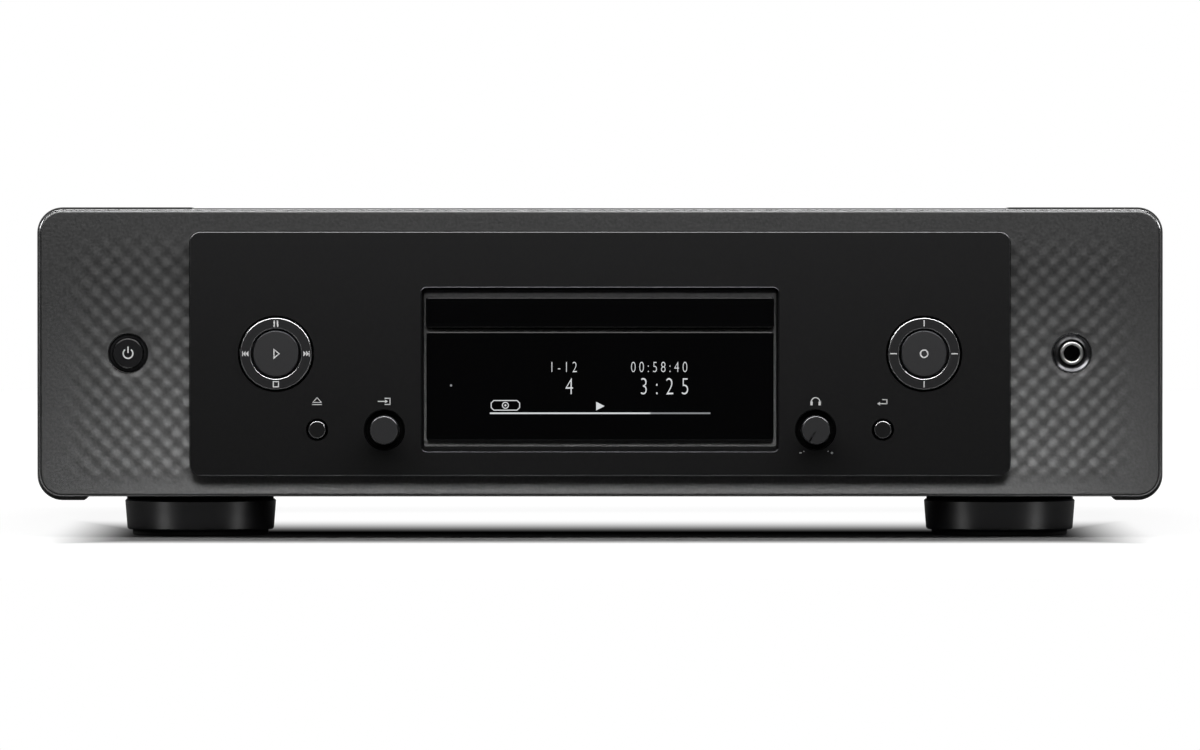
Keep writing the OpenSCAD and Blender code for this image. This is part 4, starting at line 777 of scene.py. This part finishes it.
FELT_OUT = 7.7 * MM
FELT_IN = 5.9 * MM
FELT_T = 1.0 * MM
first_felt = flat_washer(FELT_OUT, FELT_IN, FELT_T, 90)
print("a felt ring of", in_mm(first_felt.dimensions), "mm")


# %% [markdown]
# What repeats is modelled once and copied, each copy with its own mesh. A copy is moved, and its
# place then goes into its mesh.

# %% Felt rings of the knobs
FELT_DEPTH = 2.5 * MM


def select_only(*pieces):
    """Selects these pieces alone, and makes the first one active."""
    clear_selection()
    for piece in pieces:
        piece.select_set(True)
    bpy.context.view_layer.objects.active = pieces[0]


def twins(piece, count):
    """The piece and its copies, each with its own mesh."""
    made = [piece]
    for _ in range(count - 1):
        twin = piece.copy()
        twin.data = piece.data.copy()
        bpy.context.scene.collection.objects.link(twin)
        made.append(twin)
    return made


def set_down(piece, name, at, finish):
    """Moves a piece to its place on the chassis, and dresses it."""
    select_only(piece)
    piece.location = at
    apply_place()
    dress(piece, name, finish, "chassis")


# The felt's near-black colour is painted shade, in the knob wells and over the feet.
felt_painted_shade = grained("felt_painted_shade", ("#020202", "#040404"), rough=(0.9, 1.0),
                     grain_mm=0.5, depth_mm=0.1, Specular_IOR_Level=0.1)
for felt, knob in zip(twins(first_felt, 2), ("input_knob", "phones_knob")):
    well = middle(knob)
    set_down(felt, knob + "_felt", (well.x, panel_y + FELT_DEPTH, well.z), felt_painted_shade)

# %% [markdown]
# A felt washer lies round the neck of each foot and closes the gap between the foot and the case. Its
# near-black colour is painted shade for the dark line at the top of each foot. It is the same washer in
# another size, and faces up.

# %% Felt washers over the feet
WASHER_OUT = 29 * MM
NECK_R = 17 * MM
WASHER_T = NECK_H - 0.1 * MM
corners = [(row, side) for row in ("front", "rear") for side in ("left", "right")]
felts = twins(flat_washer(WASHER_OUT, NECK_R, WASHER_T, 0), len(corners))
for felt, (row, side) in zip(felts, corners):
    feet_low, feet_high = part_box(row + "_feet")
    foot_r = (feet_high.y - feet_low.y) / 2
    foot_x = feet_high.x - foot_r if side == "right" else feet_low.x + foot_r
    foot_y = (feet_low.y + feet_high.y) / 2
    set_down(felt, row + "_" + side + "_foot_felt", (foot_x, foot_y, feet_high.z), felt_painted_shade)


# %% [markdown]
# ## Printed marks
# Marks are printed in white ink, which is thinner than a hair. Each is a flat shape with
# a very small thickness, so that it lies on its surface and moves with it. Bars are drawn from
# a plane, and rings and triangles from a circle, which an inset opens. Their sizes, and their
# places beside the middle of a control, are in millimetres.

# %% Shapes of marks
SINK = 0.01 * MM


def ink_spot(name):
    """The middle of a solid's front, with a hair's breadth for the ink to sink in."""
    spot = middle(name)
    spot.y = front(name) + SINK
    return spot


def beside(spot, right_mm, up_mm):
    """A place on the same plane, so many millimetres to the right and up."""
    return (spot.x + right_mm * MM, spot.y, spot.z + up_mm * MM)


def bar(wide, high, at, turn=0.0):
    """A flat bar that faces the front."""
    piece = clear_bar(wide * MM, high * MM, at)
    piece.rotation_euler.y = math.radians(turn)
    return piece


def flat_shape(sides, wide, high, at, turn=0.0, stroke=0.0):
    """A polygon that faces the front, filled or as an outline."""
    clear_selection()
    bpy.ops.mesh.primitive_circle_add(
        vertices=sides, radius=0.5, fill_type="NGON",
        location=at, rotation=(math.pi / 2, math.radians(turn), 0))
    piece = bpy.context.object
    piece.scale = (wide * MM, high * MM, 1)
    bpy.ops.object.transform_apply(location=False, rotation=False, scale=True)
    if stroke:
        open_middle(stroke * MM)
    return piece


power = ink_spot("power_button")
print("ink on the power button lies at", in_mm(power), "mm")


# %% [markdown]
# The shapes of a mark are joined, get the thickness of the ink, and ride on the body that
# they are printed on.

# %% One mark
INK_T = 0.05 * MM
white_ink = grained("white_ink", ("#bcbcbc", "#c8c8c8"), rough=(0.5, 0.6), grain_mm=0.5, depth_mm=0.004)


def finish_mark(name, shapes, body="chassis", ink=white_ink):
    """Joins flat shapes to one mark with a thickness, which rides on a body."""
    select_only(*shapes)
    if len(shapes) > 1:
        bpy.ops.object.join()
    mark = bpy.context.object
    apply_place()
    thicken(mark, INK_T, 1)
    dress(mark, name, ink, body)


print("the ink is", round(INK_T / MM, 2), "mm thick")


# %% [markdown]
# The power symbol is a ring that is open at the top, with a bar in the gap. The faces of the ring
# near the top are selected by their place and deleted.

# %% Power symbol
GAP_HALF = 36
POWER_LINE = 0.5


def part_ring(sides, width, stroke, at, gone):
    """A ring without those faces whose middle, seen in the ring's own plane, a test picks."""
    ring = flat_shape(sides, width, width, at, stroke=stroke)
    drop(ring, "FACE", lambda face: gone(face.center))
    return ring


def in_gap(point):
    """Whether a point of the ring is near its top."""
    return abs(math.degrees(math.atan2(point.x, point.y))) < GAP_HALF


finish_mark("power_symbol", [
    part_ring(48, 4.3, POWER_LINE, beside(power, 0, -0.1), in_gap),
    bar(POWER_LINE, 2.5, beside(power, 0, 1.35)),
], "power_button")


# %% [markdown]
# The left ring carries the signs for pause, stop, back and next, and the button in it the
# sign for play. The right ring has four short lines, and its button a small circle.

# %% Signs on the left ring
RING_MARK = 11.95
OUTLINE = 0.4
TO_RIGHT = 90
left_ring = ink_spot("transport_ring")

finish_mark("pause_and_stop_signs", [
    bar(0.55, 2.5, beside(left_ring, -0.65, RING_MARK - 0.2)),
    bar(0.55, 2.5, beside(left_ring, 0.65, RING_MARK - 0.2)),
    flat_shape(4, 3.5, 3.5, beside(left_ring, 0, -RING_MARK), turn=45, stroke=OUTLINE),
], "transport_ring")


def skip_sign(name, way):
    """Two triangles and a bar that point to one side, on that side of the ring: way is -1 or 1."""
    parts = [
        flat_shape(3, 2.5, 1.4, beside(left_ring, way * (RING_MARK + out), 0), turn=way * TO_RIGHT)
        for out in (-0.825, 0.275)
    ]
    parts.append(bar(0.28, 2.1, beside(left_ring, way * (RING_MARK + 1.12), 0)))
    finish_mark(name, parts, "transport_ring")


skip_sign("previous_sign", -1)
skip_sign("next_sign", 1)
finish_mark("play_sign", [
    flat_shape(3, 4.9, 3.4, beside(ink_spot("play_button"), -0.1, 0), turn=TO_RIGHT, stroke=OUTLINE),
], "play_button")

# %% Signs on the right ring
CURSOR_LINE = 0.45
CURSOR_L = 2.5
right_ring = ink_spot("cursor_ring")

finish_mark("cursor_lines", [
    bar(CURSOR_LINE, CURSOR_L, beside(right_ring, 0, RING_MARK)),
    bar(CURSOR_LINE, CURSOR_L, beside(right_ring, 0, -RING_MARK)),
    bar(CURSOR_L, CURSOR_LINE, beside(right_ring, -RING_MARK, 0)),
    bar(CURSOR_L, CURSOR_LINE, beside(right_ring, RING_MARK, 0)),
], "cursor_ring")
finish_mark("enter_sign", [
    flat_shape(40, 3.4, 3.4, beside(ink_spot("enter_button"), 0, 0), stroke=0.5),
], "enter_button")


# %% [markdown]
# Over the lower row the plate has one small sign for each control: eject, an arrow into a
# frame for the input, a headband with two cushions for the headphone level, and a bent arrow for
# going back. Beside the right knob are a minus, a plus and two dots.

# %% Signs of the left controls
SIGN_UP = 11.1
THIN = 0.36


def plate_spot(control, up_mm=0.0):
    """A spot on the plate, so many millimetres over the middle of a control."""
    spot = middle(control)
    spot.y = panel_y + SINK
    spot.z += up_mm * MM
    return spot


eject = plate_spot("eject_button", SIGN_UP)
finish_mark("eject_sign", [
    flat_shape(3, 4.5, 2.9, beside(eject, 0, 0.2), stroke=0.26),
    bar(3.9, 0.3, beside(eject, 0, -1.25)),
])
source = plate_spot("input_knob", SIGN_UP)
finish_mark("input_sign", [
    bar(THIN, 2.8, beside(source, 2.2, 0)),
    bar(2.2, THIN, beside(source, 1.2, 1.2)),
    bar(2.2, THIN, beside(source, 1.2, -1.2)),
    bar(2.8, THIN, beside(source, -1.2, 0)),
    flat_shape(3, 1.7, 1.5, beside(source, 0.6, 0), turn=TO_RIGHT),
])

# %% Signs of the right controls
phones = plate_spot("phones_knob", SIGN_UP)
finish_mark("headphone_sign", [
    part_ring(40, 3.7, THIN, beside(phones, 0, -0.2), lambda point: point.y < 0),
    bar(0.9, 1.5, beside(phones, -1.6, -0.8)),
    bar(0.9, 1.5, beside(phones, 1.6, -0.8)),
])
back = plate_spot("back_button", SIGN_UP)
finish_mark("return_sign", [
    bar(3.0, THIN, beside(back, 0.1, -0.9)),
    bar(THIN, 1.9, beside(back, 1.55, -0.15)),
    bar(2.0, THIN, beside(back, 0.76, 0.7)),
    flat_shape(3, 1.7, 1.5, beside(back, -1.5, -0.9), turn=-TO_RIGHT),
])

# %% Marks of the level knob
LEVEL_LINE = 0.28
DOT = 0.4
level = plate_spot("phones_knob")
finish_mark("level_marks", [
    bar(0.9, LEVEL_LINE, beside(level, -5.9, -9.1)),
    bar(0.9, LEVEL_LINE, beside(level, 6.4, -9.1)),
    bar(LEVEL_LINE, 0.9, beside(level, 6.4, -9.1)),
    flat_shape(16, DOT, DOT, beside(level, -4.6, -8.5)),
    flat_shape(16, DOT, DOT, beside(level, 4.9, -8.5)),
])

# %% [markdown]
# The level knob has a short dark pointer line near its edge. It rides on the knob, so it
# turns with it.

# %% Pointer of the level knob
POINTER_TURN = 30
POINTER_R = 4.1
black_ink = grained("black_ink", ("#010101", "#030303"), rough=(0.8, 0.9),
                    grain_mm=0.5, depth_mm=0.004, Specular_IOR_Level=0.1)
lean = math.radians(POINTER_TURN)
pointer_at = beside(ink_spot("phones_knob"), -POINTER_R * math.sin(lean), -POINTER_R * math.cos(lean))
finish_mark("level_pointer", [bar(0.5, 1.9, pointer_at, turn=POINTER_TURN)], "phones_knob", black_ink)


# %% [markdown]
# ## The display
# The display shines through the black window: a track number, a time and a bar that shows
# how far the disc has played. Each lit shape lies on the window's face and glows by itself.

# %% Glow of the display
DOT_MM = 0.4


def glow(name, weak, strong):
    """A lit display segment: it glows, not quite evenly, and hardly reflects."""
    made = new_material(name, Base_Color=colour("#101010"), Roughness=0.5, Emission_Strength=1.0)
    place = add_node(made, "ShaderNodeTexCoord")
    dots = add_node(made, "ShaderNodeTexNoise",
                    {"Vector": place.outputs["Object"], "Scale": per_metre(DOT_MM)})
    tone = add_node(made, "ShaderNodeMix",
                    {FACTOR: dots.outputs["Fac"], TONE_A: colour(weak), TONE_B: colour(strong)},
                    data_type="RGBA")
    link_to_shader(made, "Emission Color", tone.outputs[TONE_OUT])
    print("made", made.name)
    return made


lit = glow("lit_display", "#c4c6c8", "#dcdee0")
dim = glow("dim_display", "#747678", "#8c8e90")


# %% [markdown]
# Numbers are text that becomes a mesh and is then narrowed. Places on the display are counted in
# millimetres from the window's middle, which makes them easy to compare with a picture.

# %% Numbers and frames
FIGURE_WIDTH = 0.72
FIGURE_SHARE = 0.7
FIGURE_THINNING = 0.024


def digits(text, high, spacing, at):
    """Upright numbers, narrowed to the display's letter width, with their middle at a point."""
    clear_selection()
    bpy.ops.object.text_add(rotation=FACING_FRONT)
    line = bpy.context.object
    line.data.body = text
    line.data.align_x = "CENTER"
    line.data.align_y = "CENTER"
    line.data.size = high * MM / FIGURE_SHARE
    line.data.space_character = spacing
    line.data.offset = -FIGURE_THINNING * high * MM
    bpy.ops.object.convert(target="MESH")
    line = bpy.context.object
    line.scale.x = FIGURE_WIDTH
    line.location = at
    return line


def badge_outline(wide, high, cut, stroke, at):
    """A frame with cut corners: a flat bar, bevelled at its corners and opened."""
    outline = bar(wide, high, at)
    cut_corners(cut * MM, 1)
    open_middle(stroke * MM)
    return outline


pane = ink_spot("display_window")
print("the display's middle is at", in_mm(pane), "mm")

# %% [markdown]
# The display is filled with a track number and its time, the numbers of the whole disc over
# them, a bar for the part that was played, a triangle, a badge with a disc sign, and a lamp.

# %% What the display shows
LARGE, SMALL = 6.7, 4.2
TRACK_BAR = 0.62
BADGE_LINE = 0.35
badge_at = beside(pane, -37.1, -7.5)
finish_mark("track_number", [digits("4", LARGE, 1.0, beside(pane, -12.0, -0.4))], ink=lit)
finish_mark("track_time", [digits("3:25", LARGE, 1.75, beside(pane, 25.3, -0.4))], ink=lit)
finish_mark("track_count", [digits("1-12", SMALL, 1.5, beside(pane, -14.4, 7.3))], ink=lit)
finish_mark("total_time", [digits("00:58:40", SMALL, 1.5, beside(pane, 23.2, 7.3))], ink=lit)
finish_mark("played_bar", [bar(63, TRACK_BAR, beside(pane, -11.7, -10.6))], ink=lit)
finish_mark("remaining_bar", [bar(23.4, TRACK_BAR, beside(pane, 31.6, -10.6))], ink=dim)
finish_mark("play_arrow", [flat_shape(3, 3.9, 4.4, beside(pane, -0.4, -7.8), turn=TO_RIGHT)], ink=lit)
finish_mark("disc_badge", [
    badge_outline(11.5, 4.1, 1.1, BADGE_LINE, badge_at),
    flat_shape(32, 2.7, 2.7, badge_at, stroke=BADGE_LINE),
    flat_shape(16, 0.8, 0.8, badge_at),
], ink=lit)
finish_mark("standby_lamp", [flat_shape(16, 0.9, 0.9, beside(pane, -58.4, 0.3))], ink=dim)


# %% [markdown]
# ## The back
# Each phono socket has a coloured plastic ring at its root, so that a hand behind the shelf
# finds the right one: white and red for left and right, orange for the digital pair, black
# for the remote control. They are placed where the record has its sockets.

# %% Colour rings of the phono sockets
ROOT_OUT = 5.4 * MM
ROOT_IN = 4.25 * MM
ROOT_T = 0.9 * MM
ROOT_STAND = 1.5 * MM
PLASTICS = {
    name: grained(name + "_plastic", tones, rough=(0.34, 0.44), grain_mm=0.6, depth_mm=0.01)
    for name, tones in (("white", ("#d2d1cc", "#dddcd8")), ("red", ("#a3231f", "#b32b26")),
                        ("orange", ("#c0691b", "#cd7624")), ("black", ("#121213", "#1a1a1b")))
}
RING_COLOURS = {
    "fixed_out_upper": "white", "fixed_out_lower": "red",
    "variable_out_upper": "white", "variable_out_lower": "red",
    "coaxial_upper": "orange", "coaxial_lower": "orange",
    "remote_upper": "black", "remote_lower": "black",
}
sockets = [mount for mount in frame["record"]["mounts"] if mount["name"] in RING_COLOURS]
rings = twins(flat_washer(ROOT_OUT, ROOT_IN, ROOT_T, -90), len(sockets))
for ring, mount in zip(rings, sockets):
    x, _, z = mount["pos_m"]
    set_down(ring, mount["name"] + "_ring", (x, back_y + ROOT_STAND + ROOT_T, z),
             PLASTICS[RING_COLOURS[mount["name"]]])

# %% [markdown]
# Thin printed frames group the sockets. They are the same flat shapes as on the front, turned
# half round to face the back.

# %% Printed frames on the back
FRAME_LINE = 0.4
FRAME_CUT = 2
FRAME_H = 42
SOCKETS_Z = 73 * MM
FRAME_PLACES = {"line_out_frame": (173, 46), "coaxial_frame": (118, 19),
                "remote_frame": (92, 19), "optical_frame": (62, 19)}
grey_ink = grained("grey_ink", ("#8a8a8a", "#969696"), rough=(0.5, 0.6), grain_mm=0.5, depth_mm=0.004)
for name, (right, wide) in FRAME_PLACES.items():
    outline = badge_outline(wide, FRAME_H, FRAME_CUT, FRAME_LINE, (right * MM, back_y - SINK, SOCKETS_Z))
    outline.rotation_euler.z = math.pi
    finish_mark(name, [outline], ink=grey_ink)

# %% [markdown]
# The case is held by nine screws with pan heads and a cross recess. One is modelled: a disc with
# a rounded rim, a shank drawn out of its underside, and a cross cut into it with two bars. The
# others are copies, each with its own mesh and its own turn.

# %% One screw
HEAD_R = 3.0 * MM
HEAD_T = 1.4 * MM
SHANK_R = 1.5 * MM
SHANK_L = 6.0 * MM
CROSS_L = 3.2 * MM
CROSS_W = 0.8 * MM
CROSS_D = 0.9 * MM


def cut_slot(screw, long, wide):
    """Cuts a bar-shaped slot into the top of a screw."""
    clear_selection()
    bpy.ops.mesh.primitive_cube_add(size=1, location=(0, 0, HEAD_T))
    cutter = bpy.context.object
    cutter.scale = (long, wide, 2 * CROSS_D)
    apply_place()
    select_only(screw)
    cut = screw.modifiers.new("cut", "BOOLEAN")
    cut.object = cutter
    cut.operation = "DIFFERENCE"
    cut.solver = "EXACT"
    bpy.ops.object.modifier_apply(modifier=cut.name)
    bpy.data.objects.remove(cutter)


def pan_screw():
    """One screw that looks along +Z, with the underside of its head at the origin."""
    clear_selection()
    bpy.ops.mesh.primitive_cylinder_add(vertices=32, radius=HEAD_R, depth=HEAD_T,
                                        location=(0, 0, HEAD_T / 2))
    screw = bpy.context.object
    apply_place()
    pick(screw, "FACE", lambda face: face.normal.z > STRAIGHT)
    bpy.ops.mesh.bevel(offset=HEAD_T / 2, segments=4)
    bpy.ops.object.mode_set(mode="OBJECT")
    pick(screw, "FACE", lambda face: face.normal.z < -STRAIGHT)
    bpy.ops.mesh.inset(thickness=HEAD_R - SHANK_R)
    bpy.ops.mesh.extrude_region_move(TRANSFORM_OT_translate={"value": (0, 0, -SHANK_L)})
    bpy.ops.object.mode_set(mode="OBJECT")
    cut_slot(screw, CROSS_L, CROSS_W)
    cut_slot(screw, CROSS_W, CROSS_L)
    return screw


first_screw = pan_screw()
print("one screw has", len(first_screw.data.polygons), "faces")

# %% [markdown]
# Three screws hold each side of the cover and three its back edge. Their places are those of
# the plain screws in the CAD model, which they replace.

# %% Case screws
SIDE_SCREW_Y = (-121.5 * MM, 16.4 * MM, 154.3 * MM)
SIDE_SCREW_Z = 25.5 * MM
REAR_SCREW_X = (-198 * MM, 0, 198 * MM)
REAR_SCREW_Z = 124.1 * MM
TURN_STEP = 25
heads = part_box("case_screws")[1]
places = [((side * (heads.x - HEAD_T), y, SIDE_SCREW_Z), (0, side * math.pi / 2))
          for side in (-1, 1) for y in SIDE_SCREW_Y]
places += [((x, heads.y - HEAD_T, REAR_SCREW_Z), (-math.pi / 2, 0)) for x in REAR_SCREW_X]
screws = twins(first_screw, len(places))
for k, (screw, (at, tilt)) in enumerate(zip(screws, places)):
    screw.rotation_mode = "ZYX"
    screw.rotation_euler = (*tilt, math.radians(TURN_STEP * k))
    screw.location = at
select_only(*screws)
bpy.ops.object.join()
apply_place()
bpy.ops.object.shade_smooth_by_angle(angle=SMOOTH_ANGLE)
dress(first_screw, "cross_head_screws", black_oxide, "chassis")
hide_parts("case_screws")


# %% [markdown]
# ## The studio
# The picture has a white background and a white table, a big soft light overhead and a dark
# room in front, which is why the polished window stays black. The table is one plane that
# ends before the camera.

# %% Table top
TABLE_FRONT = -0.62
TABLE_BACK = 3.0
TABLE_W = 6.0
clear_selection()
bpy.ops.mesh.primitive_plane_add(size=1, location=(0, (TABLE_FRONT + TABLE_BACK) / 2, 0))
table = bpy.context.object
table.scale = (TABLE_W, TABLE_BACK - TABLE_FRONT, 1)
apply_place()
table.name = "table"
print("table", [round(a, 2) for a in table.dimensions], "m")

# %% [markdown]
# The table is matt grey paper that glows white where the camera looks at it, so that it needs no more
# light than the player does. Under the case and just ahead of it there is no glow, and the paper shows the
# true shadow there. The glow starts again beside the case, behind it and ahead of it. Its soft rise hides
# the shadow little by little, so it paints the shadow's fading edges.

# %% Where the table glows
# The soft rise of each glow zone paints the fading edge of the shadow.
SIDE_GLOW = (0.182, 0.222)
BACK_GLOW = (-0.12, 0.05)
FRONT_GLOW = (-0.215, -0.275)
white_table = bpy.data.materials.new("white_table")
white_table.use_nodes = True
white_table.node_tree.nodes.clear()
place = add_node(white_table, "ShaderNodeTexCoord")
axes = add_node(white_table, "ShaderNodeSeparateXYZ", {0: place.outputs["Object"]})
sideways = add_node(white_table, "ShaderNodeMath", {0: axes.outputs["X"]}, operation="ABSOLUTE")
glowing = 0.0
for distance, (start, end) in ((sideways.outputs[0], SIDE_GLOW), (axes.outputs["Y"], BACK_GLOW),
                               (axes.outputs["Y"], FRONT_GLOW)):
    zone = add_node(white_table, "ShaderNodeMapRange",
                    {"Value": distance, "From Min": start, "From Max": end},
                    interpolation_type="SMOOTHSTEP")
    either = add_node(white_table, "ShaderNodeMath", {0: glowing, 1: zone.outputs["Result"]},
                      operation="MAXIMUM")
    glowing = either.outputs[0]
print("the table glows from", SIDE_GLOW[1], "m out to the sides")

# %% [markdown]
# Round the outline of the case the glow is a little weaker, which leaves a faint soft shade.

# %% Shade round the case
CASE_BACK = 0.2
CASE_FRONT = -0.19
SHADE_W = 0.08
SHADED = 0.92
away = -1.0
for further, nearer in ((sideways.outputs[0], cad_high.x), (axes.outputs["Y"], CASE_BACK),
                        (CASE_FRONT, axes.outputs["Y"])):
    past = add_node(white_table, "ShaderNodeMath", {0: further, 1: nearer}, operation="SUBTRACT")
    furthest = add_node(white_table, "ShaderNodeMath", {0: away, 1: past.outputs[0]},
                        operation="MAXIMUM")
    away = furthest.outputs[0]
faded, under_case = [
    add_node(white_table, "ShaderNodeMapRange", {"Value": away, "From Min": 0.0, "From Max": width},
             interpolation_type="SMOOTHSTEP").outputs["Result"]
    for width in (SHADE_W, -SHADE_W)
]
open_air = add_node(white_table, "ShaderNodeMath", {0: faded, 1: under_case}, operation="MAXIMUM")
shade = add_node(white_table, "ShaderNodeMapRange", {"Value": open_air.outputs[0], "To Min": SHADED})
print("shade fades over", SHADE_W, "m")

# %% [markdown]
# The camera sees the glow in full. In reflections it is weak in front, where the studio is dark,
# stronger behind the case, and gone far out at the sides, where black flags stand.

# %% Who sees the glow
MIRROR_Y = (0.1, 0.3)
MIRROR_SHARE = (0.03, 0.5)
TABLE_FLAG_X = (0.8, 0.45)


def seen_share(owner, mirrored):
    """A pattern that is 1 for the camera, a given share in reflections, and 0 for all other light."""
    ray = add_node(owner, "ShaderNodeLightPath")
    direct = add_node(owner, "ShaderNodeMath",
                      {0: ray.outputs["Is Camera Ray"], 1: ray.outputs["Is Transmission Ray"]},
                      operation="MAXIMUM")
    glossy = add_node(owner, "ShaderNodeMath", {0: ray.outputs["Is Glossy Ray"], 1: mirrored},
                      operation="MULTIPLY")
    either = add_node(owner, "ShaderNodeMath", {0: direct.outputs[0], 1: glossy.outputs[0]},
                      operation="MAXIMUM")
    return either.outputs[0]


whiter_behind = add_node(white_table, "ShaderNodeMapRange",
                         {"Value": axes.outputs["Y"], "From Min": MIRROR_Y[0], "From Max": MIRROR_Y[1],
                          "To Min": MIRROR_SHARE[0], "To Max": MIRROR_SHARE[1]})
inside_flags = add_node(white_table, "ShaderNodeMapRange",
                        {"Value": sideways.outputs[0], "From Min": TABLE_FLAG_X[0],
                         "From Max": TABLE_FLAG_X[1], "To Max": whiter_behind.outputs["Result"]})
seen = seen_share(white_table, inside_flags.outputs["Result"])
print("reflections show", MIRROR_SHARE[0], "to", MIRROR_SHARE[1], "of the glow")

# %% [markdown]
# The strength of the glow is the product of all three patterns. It is added to the matt paper.

# %% Paper of the table
MATT_PAPER = "#5e5e5e"
lifted = add_node(white_table, "ShaderNodeMath", {0: shade.outputs["Result"], 1: glowing},
                  operation="MULTIPLY")
strength = add_node(white_table, "ShaderNodeMath", {0: seen, 1: lifted.outputs[0]}, operation="MULTIPLY")
matt = add_node(white_table, "ShaderNodeBsdfDiffuse", {"Color": colour(MATT_PAPER)})
shine = add_node(white_table, "ShaderNodeEmission", {"Strength": strength.outputs[0]})
both = add_node(white_table, "ShaderNodeAddShader", {0: matt.outputs[0], 1: shine.outputs[0]})
add_node(white_table, "ShaderNodeOutputMaterial", {"Surface": both.outputs[0]})
table.data.materials.append(white_table)
print(white_table.name, "has", len(white_table.node_tree.nodes), "nodes")

# %% [markdown]
# Behind the table hangs white paper. The camera sees it as plain white, and it gives the room
# hardly any light. Polished edges reflect it only straight behind the player: a black flag
# at each side keeps the sides of the frame dark, and one above keeps its top edge thin.

# %% Where the backdrop is white
BACKDROP_Y = (0.1, 0.5)
FLAG_X = (0.6, 0.35)
FLAG_Z = (0.5, 0.25)
world = bpy.data.worlds.new("studio")
bpy.context.scene.world = world
world.use_nodes = True
world.node_tree.nodes.clear()
way = add_node(world, "ShaderNodeTexCoord")
way_axes = add_node(world, "ShaderNodeSeparateXYZ", {0: way.outputs["Generated"]})
way_side = add_node(world, "ShaderNodeMath", {0: way_axes.outputs["X"]}, operation="ABSOLUTE")
backdrop = 1.0
for direction, (start, end) in ((way_axes.outputs["Y"], BACKDROP_Y), (way_side.outputs[0], FLAG_X),
                                (way_axes.outputs["Z"], FLAG_Z)):
    between = add_node(world, "ShaderNodeMapRange",
                       {"Value": direction, "From Min": start, "From Max": end, "To Max": backdrop})
    backdrop = between.outputs["Result"]
print("the backdrop is white up to", FLAG_X[1], "to the sides and", FLAG_Z[1], "up")

# %% Background
ROOM_GREY = "#8c8c8c"
ROOM_LIGHT = 0.05
white = seen_share(world, backdrop)
room = add_node(world, "ShaderNodeBackground", {"Color": colour(ROOM_GREY), "Strength": ROOM_LIGHT})
paper = add_node(world, "ShaderNodeBackground", {"Color": colour("#ffffff"), "Strength": 1.0})
chosen = add_node(world, "ShaderNodeMixShader", {FACTOR: white, 1: room.outputs[0], 2: paper.outputs[0]})
add_node(world, "ShaderNodeOutputWorld", {"Surface": chosen.outputs[0]})
print("background", world.name, "has", len(world.node_tree.nodes), "nodes")


# %% [markdown]
# The front is lit by a long softbox close above it, a second one far away that fills it, and a
# thin bar for the bright line along the top edge.

# %% Lamps for the front
def soft_light(name, at, aim, size, watts, spread=180):
    """A soft rectangular light at a point, turned to another point, that the camera doesn't see.

    A small spread narrows its beam, as a honeycomb in front of a softbox does.
    """
    data = bpy.data.lights.new(name, "AREA")
    data.shape = "RECTANGLE"
    data.size, data.size_y = size
    data.energy = watts
    data.spread = math.radians(spread)
    lamp = bpy.data.objects.new(name, data)
    lamp.location = at
    lamp.rotation_euler = (Vector(at) - Vector(aim)).to_track_quat("Z", "Y").to_euler()
    lamp.visible_camera = False
    bpy.context.scene.collection.objects.link(lamp)
    print(name, watts, "W at", at)
    return lamp


soft_light("overhead", at=(0, -0.34, 0.30), aim=(0, -0.2, 0.1), size=(0.9, 0.08), watts=2.7)
soft_light("front_fill", at=(0, -2.4, 0.85), aim=(0, -0.2, 0.07), size=(1.4, 0.5), watts=5.2)
soft_light("edge_bar", at=(0, -0.62, 0.38), aim=(0, -0.2, 0.08), size=(0.9, 0.012), watts=0.4)


# %% [markdown]
# A low bar sweeps over the frame and brings out the relief of the wings, and a strip at each
# side draws a soft line down the feet. In a studio, cards keep such light off everything else.
# Here light linking does the same: it names the pieces that a lamp lights.

# %% Lamps for the frame and the feet
def light_only(lamp, pieces):
    """Lets a lamp light only these pieces."""
    receivers = bpy.data.collections.new("lit_by_" + lamp.name)
    for piece in pieces:
        receivers.objects.link(piece)
    lamp.light_linking.receiver_collection = receivers


key_bar = soft_light("key_bar", at=(0, -0.6, 0.165), aim=(0, -0.19, -0.02), size=(0.42, 0.1),
                     watts=0.17, spread=25)
light_only(key_bar, [nodes["front_frame"], *wings])
for name, strip_x in (("left_strip", -1.5), ("right_strip", 1.5)):
    strip = soft_light(name, at=(strip_x, -1.05, 0.2), aim=(0, -0.17, 0.01), size=(0.35, 0.4), watts=14)
    light_only(strip, [nodes["front_feet"], nodes["rear_feet"]])

# %% [markdown]
# The sides and the back have soft light of their own, for when the player is turned round.

# %% Lamps for the sides and the back
soft_light("back_fill", at=(0, 2.4, 1.3), aim=(0, 0.2, 0.07), size=(1.6, 1.0), watts=36)
for name, side in (("left_fill", -1), ("right_fill", 1)):
    soft_light(name, at=(side * 2.2, 0.7, 0.9), aim=(side * 0.2, 0.1, 0.07), size=(1.0, 0.8), watts=9)

# %% [markdown]
# Colours show as they are written when the view transform is Standard.

# %% Finish
bpy.context.scene.view_settings.view_transform = "Standard"
